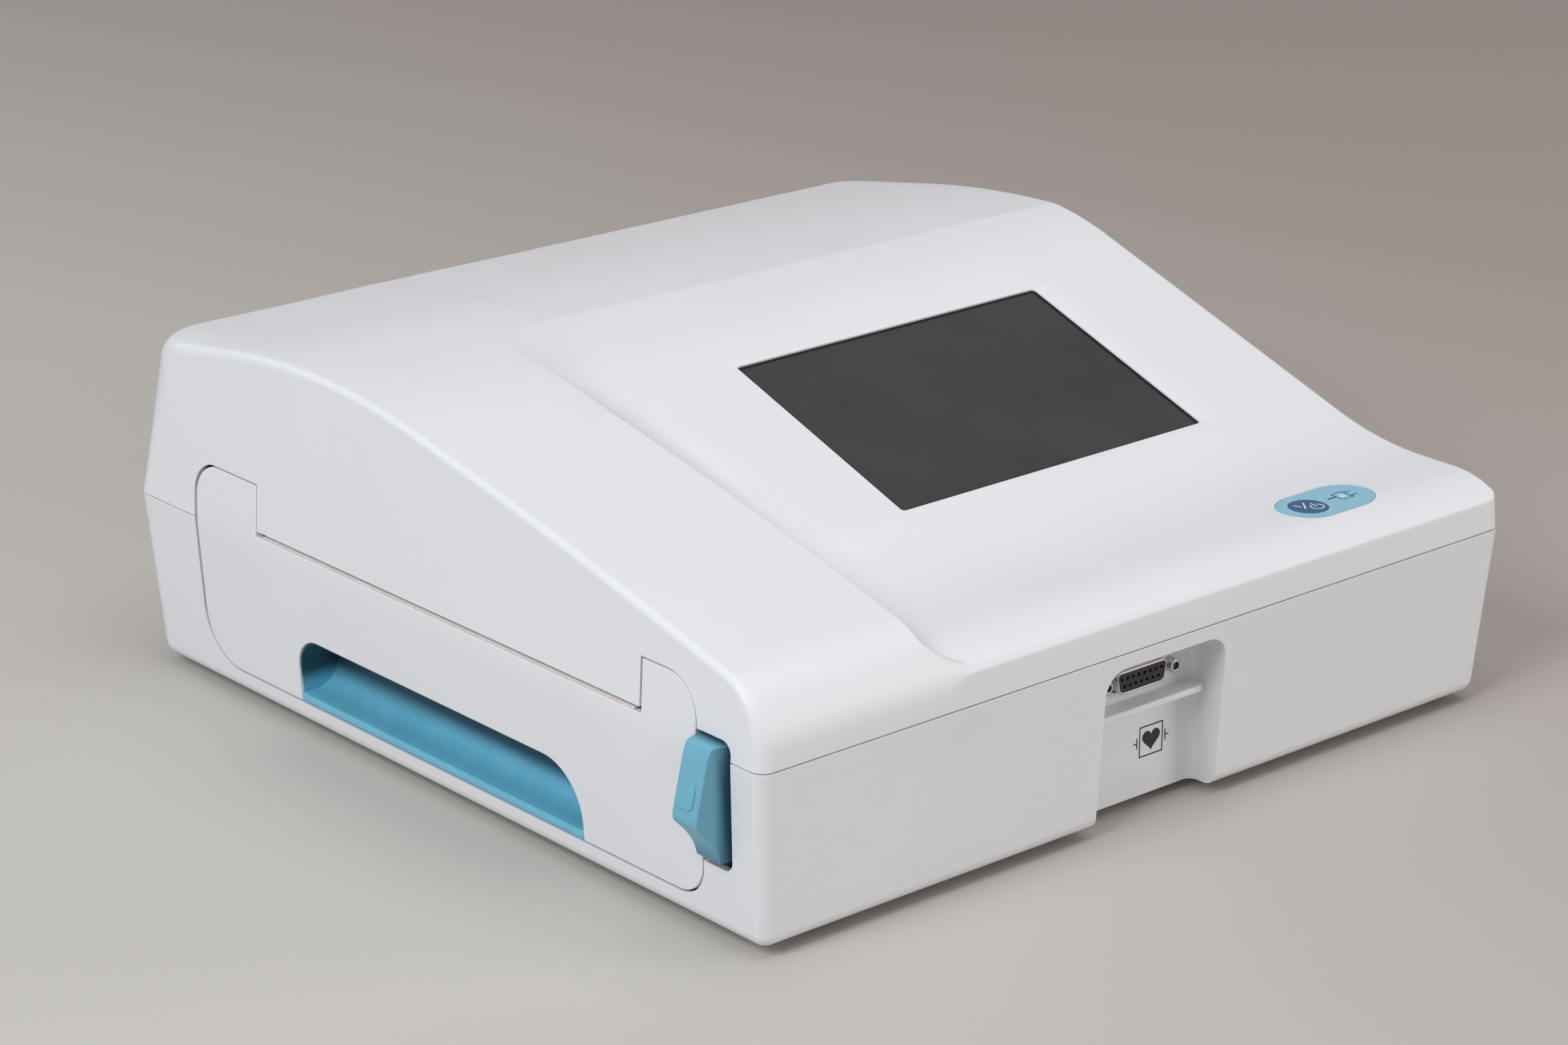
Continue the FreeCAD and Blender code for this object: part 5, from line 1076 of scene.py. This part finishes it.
class RECORDER_OT_lever(bpy.types.Operator):
    """Blue latch lever with its thumb pad"""

    bl_idname = "recorder.lever"
    bl_label = "Latch Lever"

    def execute(self, context):
        # The profile is drawn as x from the left wall and z; its sloping face runs from neck to nose
        inner, tail = 9.0, LEVER_LOW + 3.2
        neck, nose = (-6.4, 70.6), (-11.2, 50.2)
        profile = [
            (inner, tail), (inner, LEVER_TOP), (1.8, LEVER_TOP), (-4.8, LEVER_TOP - 0.9), neck,
            nose, (nose[0], 47.6), (-5.4, 41.6), (-2.0, 36.4), (-1.0, tail),
        ]
        rounds = {3: 1.3, 4: 1.5, 5: 1.2, 6: 1.2, 7: 2.4, 8: 2.6}
        corners = [(LEFT + x, z) for x, z in profile]
        bm = prism(corners, rounds, "XZ", LEVER_FRONT, LEVER_BACK, steps=6)
        narrow, narrow_from, face_front = 0.068, 72.8, LEVER_FRONT + 3.6
        for vert in bm.verts:
            if vert.co.y < (LEVER_FRONT + LEVER_BACK) / 2:
                base = LEVER_FRONT + max(0.0, narrow_from - vert.co.z) * narrow
                proud = min(max(side_x(vert.co.z) + 0.5 - vert.co.x, 0.0) / 5, 1.0)
                vert.co.y = base + (max(face_front, base + 0.6) - base) * proud
        fork, pin, eye_radius = (-162.75, -155.55), (LEFT + 2.5, 71.0), 3.2
        slot = block((pin[0], LEFT + 14), fork, (pin[1] - eye_radius, LEVER_TOP + 3))
        bm = combine("DIFFERENCE", bm, slot, rod("Y", pin, eye_radius, *fork, 32))
        margin, sharp = 0.15, math.radians(60)

        def in_front(spot):
            return spot.x < LEFT + 1.5 and not fork[0] - margin < spot.y < fork[1] + margin

        lengthwise = [
            e for e in edges_where(bm, in_front)
            if len(e.link_faces) == 2 and abs(e.verts[0].co.y - e.verts[1].co.y) < 3.5
            and e.calc_face_angle(0) > sharp
        ]
        bevel(bm, lengthwise, 1.5, 5)
        pad_y, pad_half, pad_face, pad_z = (-160.9, -152.0), 4.6, -0.65, 57.0
        pad = prism(rectangle(*pad_y, -pad_half, pad_half), all_round(2.2), "YZ", pad_face, 1.2, steps=5)
        bevel(pad, edges_where(pad, near("X", pad_face)), 0.4, 3)
        tilt = math.atan2(neck[0] - nose[0], neck[1] - nose[1])
        spot = (LEFT + nose[0] + (pad_z - nose[1]) * math.tan(tilt), 0, pad_z)
        moved(pad, spot, tilt, "Y")
        piece("lever_blue", gather(bm, pad), "lever", "blue_lever", "latch_lever")
        return {"FINISHED"}


class RECORDER_OT_screen(bpy.types.Operator):
    """Screen and the dark gasket round it"""

    bl_idname = "recorder.screen"
    bl_label = "Screen"

    def execute(self, context):
        level, rim = -sizes().screen_depth, -0.75
        half_x, half_y = 77.0, 50.5
        corners = rectangle(-half_x, half_x, -half_y, half_y)
        glass = prism(corners, all_round(1.0), "XY", level - GLASS, level)
        bevel(glass, edges_where(glass, near("Z", level)), 0.3)
        piece("screen_panel", on_panel(glass), "housing", "screen_glass", "display_glass")
        outer = prism(window_outline(0.05), all_round(WINDOW_ROUND), "XY", level, rim, steps=5)
        inner = prism(window_outline(0.7), all_round(1.2), "XY", -4, 2, steps=5)
        ring = combine("DIFFERENCE", outer, inner)
        soften(ring, 0.2, near("Z", rim))
        piece("screen_gasket", on_panel(ring), "housing", "black_plastic")
        return {"FINISHED"}


class RECORDER_OT_power(bpy.types.Operator):
    """Oval overlay, round key, and their symbols"""

    bl_idname = "recorder.power"
    bl_label = "Power Key"

    def execute(self, context):
        low, high = film_box()
        top, through = high[2], (low[2] - 2, high[2] + 2)
        spot, lamp = moved_back(KEY_SPOT), moved_back(LAMP_SPOT)
        film = oval(*zip(low, high))
        lens_radius = 1.5
        lens_hole = rod("Z", lamp, lens_radius + 0.05, *through, 32)
        film = combine("DIFFERENCE", film, rod("Z", spot, KEY_HOLE, *through, 64), lens_hole)
        soften(film, 0.2, near("Z", top))
        piece("power_film", film, "housing", "overlay_film", "power_overlay")
        key_top, disc_thick = KEY_HIGH[2], 2.2
        disc = rod("Z", spot, (KEY_HIGH[0] - KEY_LOW[0]) / 2, key_top - disc_thick, key_top, 64)
        bevel(disc, edges_where(disc, near("Z", key_top)), 0.25)
        stem = rod("Z", spot, 3.0, KEY_LOW[2], key_top - disc_thick + 0.1, 32)
        piece("key_disc", gather(disc, stem), "key", "key_blue", "power_key")
        marks = gather(
            bar(-3.1, 2.5, 3.5, 0.5, 104), bar(-0.7, 1.3, 6.2, 0.55, 52),
            arc(2.5, 0.5, 112, 300, (2.5, -2.1)), bar(2.65, -0.2, 3.8, 0.5, 80),
        )
        piece("key_marks", moved(marks, (*spot, key_top)), "key", "white_shell", look="mark_white")
        lens = rod("Z", lamp, lens_radius, LAMP_LOW, top + 0.1, 32)
        bevel(lens, edges_where(lens, near("Z", top + 0.1)), 0.3, 3)
        piece("lamp_lens", lens, "housing", "lamp_lens", "mains_lamp")
        plug = [bar(-4.9, 0.4, 4.2, 1.1, 0), bar(-2.7, 0, 5.0, 0.55, 90), bar(2.8, 0, 6.8, 0.7, 90)]
        for side in (1, -1):
            plug.append(bar(0.2, side * 3.1, 5.0, 0.55, 0))
            plug.append(bar(4.5, side * 1.8, 3.2, 0.6, 0))
            plug.append(bar(-2.5, side * 2.75, 1.0, 0.55, side * 45))
        piece("plug_mark", moved(gather(*plug), (*lamp, top)), "housing", "key_blue")
        return {"FINISHED"}


class RECORDER_OT_socket(bpy.types.Operator):
    """Patient socket: D-shaped shell, contact block and jack screws"""

    bl_idname = "recorder.socket"
    bl_label = "Patient Socket"

    def execute(self, context):
        start, end = BAY_BACK - 3.7, SHELL_HIGH[1]
        flange_start = end - 1.0
        shell = prism(socket_corners(0.0), all_round(2.2), "XZ", start, flange_start, steps=6)
        corners = rectangle(SHELL_LOW[0], SHELL_HIGH[0], SHELL_LOW[2], SHELL_HIGH[2])
        flange = prism(corners, all_round(1.5), "XZ", flange_start, end)
        thick, inner_round = 0.6, 1.8
        inner = prism(socket_corners(-thick), all_round(inner_round), "XZ", start - 3, end + 3, steps=6)
        shell = combine("DIFFERENCE", combine("UNION", shell, flange), inner)
        soften(shell, 0.18, near("Y", start))
        piece("socket_metal", shell, "housing", "plated_steel", "socket_shell")
        face = start + 0.3
        insert = prism(socket_corners(-thick - 0.02), all_round(inner_round), "XZ", face, end + 4, steps=6)
        pitch, row_z, contact_radius = 2.77, 1.42, 0.62
        contacts = []
        for row, count in ((1, 8), (-1, 7)):
            for place in range(count):
                spot = (SOCKET_X + (place - (count - 1) / 2) * pitch, SOCKET_Z + row * row_z)
                contacts.append(rod("Y", spot, contact_radius, start - 1, start + 4, 16))
        insert = combine("DIFFERENCE", insert, *contacts)
        soften(insert, 0.15, near("Y", face))
        piece("socket_block", insert, "housing", "black_plastic", "socket_insert")
        jacks = []
        tip = BAY_BACK - 3.9
        for x in JACK_SPOTS:
            post = rod("Y", (x, SOCKET_Z), JACK_RADIUS, tip, JACK_END, 40)
            bevel(post, edges_where(post, near("Y", tip)), 0.5, 3)
            post = combine("DIFFERENCE", post, rod("Y", (x, SOCKET_Z), 1.4, tip - 1, tip + 4.6, 32))
            jacks.append(soften(post, 0.25, near("Y", tip)))
        piece("jack_posts", gather(*jacks), "housing", "plated_steel", "jack_screws")
        return {"FINISHED"}


def heart_point(t):
    """Point of a heart's outline at an angle."""
    scale, lift = 0.275, 0.4
    lobes = 13 * math.cos(t) - 5 * math.cos(2 * t) - 2 * math.cos(3 * t) - math.cos(4 * t)
    return 16 * scale * math.sin(t) ** 3, scale * lobes + lift


class RECORDER_OT_symbol(bpy.types.Operator):
    """Generic applied-part symbol on the bay's back wall"""

    bl_idname = "recorder.symbol"
    bl_label = "Applied-Part Symbol"

    def execute(self, context):
        count = 56
        outline = [heart_point(2 * math.pi * step / count) for step in range(count)]
        shapes = [prism(outline[::-1], {}, "XY", 0, INK)]
        half, line, apart = 5.6, 0.5, 0.04  # the frame's side bars stay apart from its long ones
        for side in (-1, 1):
            shapes.append(bar(0, side * half, 2 * half + line, line, 0))
            shapes.append(bar(side * half, 0, 2 * half - line - apart, line, 90))
            shapes.append(bar(side * 7.0, 0, 4.2, line, 90))
            shapes.append(bar(side * 7.9, 0, 1.6, line, 0))
        spot = (20.0, BAY_BACK - 0.02, 24.2)
        marks = moved(gather(*shapes), spot, math.pi / 2, "X")
        piece("applied_part_symbol", marks, "housing", "black_plastic")
        return {"FINISHED"}


# Stage


def aimed(name, data, spot, target):
    """Object for a lamp or camera at a place, turned to a target."""
    made = placed(name, data)
    made.location = spot
    made.rotation_euler = (Vector(target) - Vector(spot)).to_track_quat("-Z", "Y").to_euler()
    return made


def studio_sweep():
    """Floor that bends up into a backdrop, in metres, square to the camera."""
    half_width, front, back, height, bend, turn = 9.0, -4.0, 3.0, 4.5, 1.6, math.radians(-40.7)
    bm = bmesh.new()
    bmesh.ops.create_grid(bm, x_segments=1, y_segments=2, size=1.0)
    for vert in bm.verts:
        u, v = vert.co.x, vert.co.y
        vert.co = (half_width * u, front if v < -0.5 else back, height if v > 0.5 else 0.0)
    bevel(bm, [e for e in bm.edges if len(e.link_faces) == 2], bend, 24)
    mesh = mesh_of(moved(bm, (0, 0, 0), turn), "studio_sweep")
    mesh.shade_smooth()
    # The floor and backdrop get painted shade towards the far right, in place of the lamps' falloff
    mesh.materials.append(finish(
        "studio paper", colours().floor, 0.9, grain=600.0, bump=0.05, shade=0.985, mottle=3.0,
        painted_shade=((1.0, -0.15, 0.0), -0.40, 0.72, colours().floor_painted_shade),
    ))
    return placed("studio_sweep", mesh)


class RECORDER_OT_stage(bpy.types.Operator):
    """Floor, backdrop, lamps and camera"""

    bl_idname = "recorder.stage"
    bl_label = "Stage"

    def execute(self, context):
        scene = context.scene
        scene.view_settings.view_transform = "Standard"
        studio_sweep()

        world = bpy.data.worlds.new("studio")
        scene.world = world
        world.use_nodes = True
        set_inputs(world.node_tree.nodes["Background"], Color=(0.95, 0.96, 1.0, 1), Strength=0.40)
        lamps = (
            ("key", (-2.3, -0.5, 1.9), 1.3, 46.0, (0.93, 0.965, 1.0)),
            ("overhead", (0.1, -0.3, 2.2), 1.8, 14.4, (1.0, 0.99, 0.98)),
            ("fill", (1.65, -1.9, 0.5), 1.2, 18.5, (1.0, 0.93, 0.90)),
        )
        for name, spot, width, power, tone in lamps:
            lamp = bpy.data.lights.new(name, "AREA")
            lamp.color = tone
            lamp.size = width
            lamp.energy = power
            aimed(name, lamp, spot, (0.0, 0.0, 0.05))

        camera = bpy.data.cameras.new("photograph")
        camera.sensor_width = 36.0
        camera.lens = 102.97
        spot, target = (-1.0331, -1.1916, 0.6376), (0.03744, 0.05261, 0.04117)
        scene.camera = aimed("photograph", camera, spot, target)
        return {"FINISHED"}


OPERATORS = (
    RECORDER_OT_finishes, RECORDER_OT_cover, RECORDER_OT_case, RECORDER_OT_door, RECORDER_OT_scoop,
    RECORDER_OT_paper, RECORDER_OT_lever, RECORDER_OT_screen, RECORDER_OT_power, RECORDER_OT_socket,
    RECORDER_OT_symbol, RECORDER_OT_stage,
)


class RECORDER_PT_panel(bpy.types.Panel):
    """Lists the recorder's pieces"""

    bl_idname = "RECORDER_PT_panel"
    bl_label = "Desk ECG Recorder"
    bl_space_type = "VIEW_3D"
    bl_region_type = "UI"
    bl_category = "Recorder"

    def draw(self, context):
        for group in (context.scene.recorder_sizes, context.scene.recorder_colours):
            for name in group.bl_rna.properties.keys():
                if name not in {"rna_type", "name"}:
                    self.layout.prop(group, name)
        for operator in OPERATORS:
            self.layout.operator(operator.bl_idname)


CLASSES = (RecorderSizes, RecorderColours, *OPERATORS, RECORDER_PT_panel)


def register():
    for item in CLASSES:
        bpy.utils.register_class(item)
    bpy.types.Scene.recorder_sizes = bpy.props.PointerProperty(type=RecorderSizes)
    bpy.types.Scene.recorder_colours = bpy.props.PointerProperty(type=RecorderColours)


def unregister():
    del bpy.types.Scene.recorder_colours
    del bpy.types.Scene.recorder_sizes
    for item in reversed(CLASSES):
        bpy.utils.unregister_class(item)


def main():
    register()
    for operator in OPERATORS:
        group, name = operator.bl_idname.split(".")
        getattr(getattr(bpy.ops, group), name)()


if __name__ == "__main__":
    main()
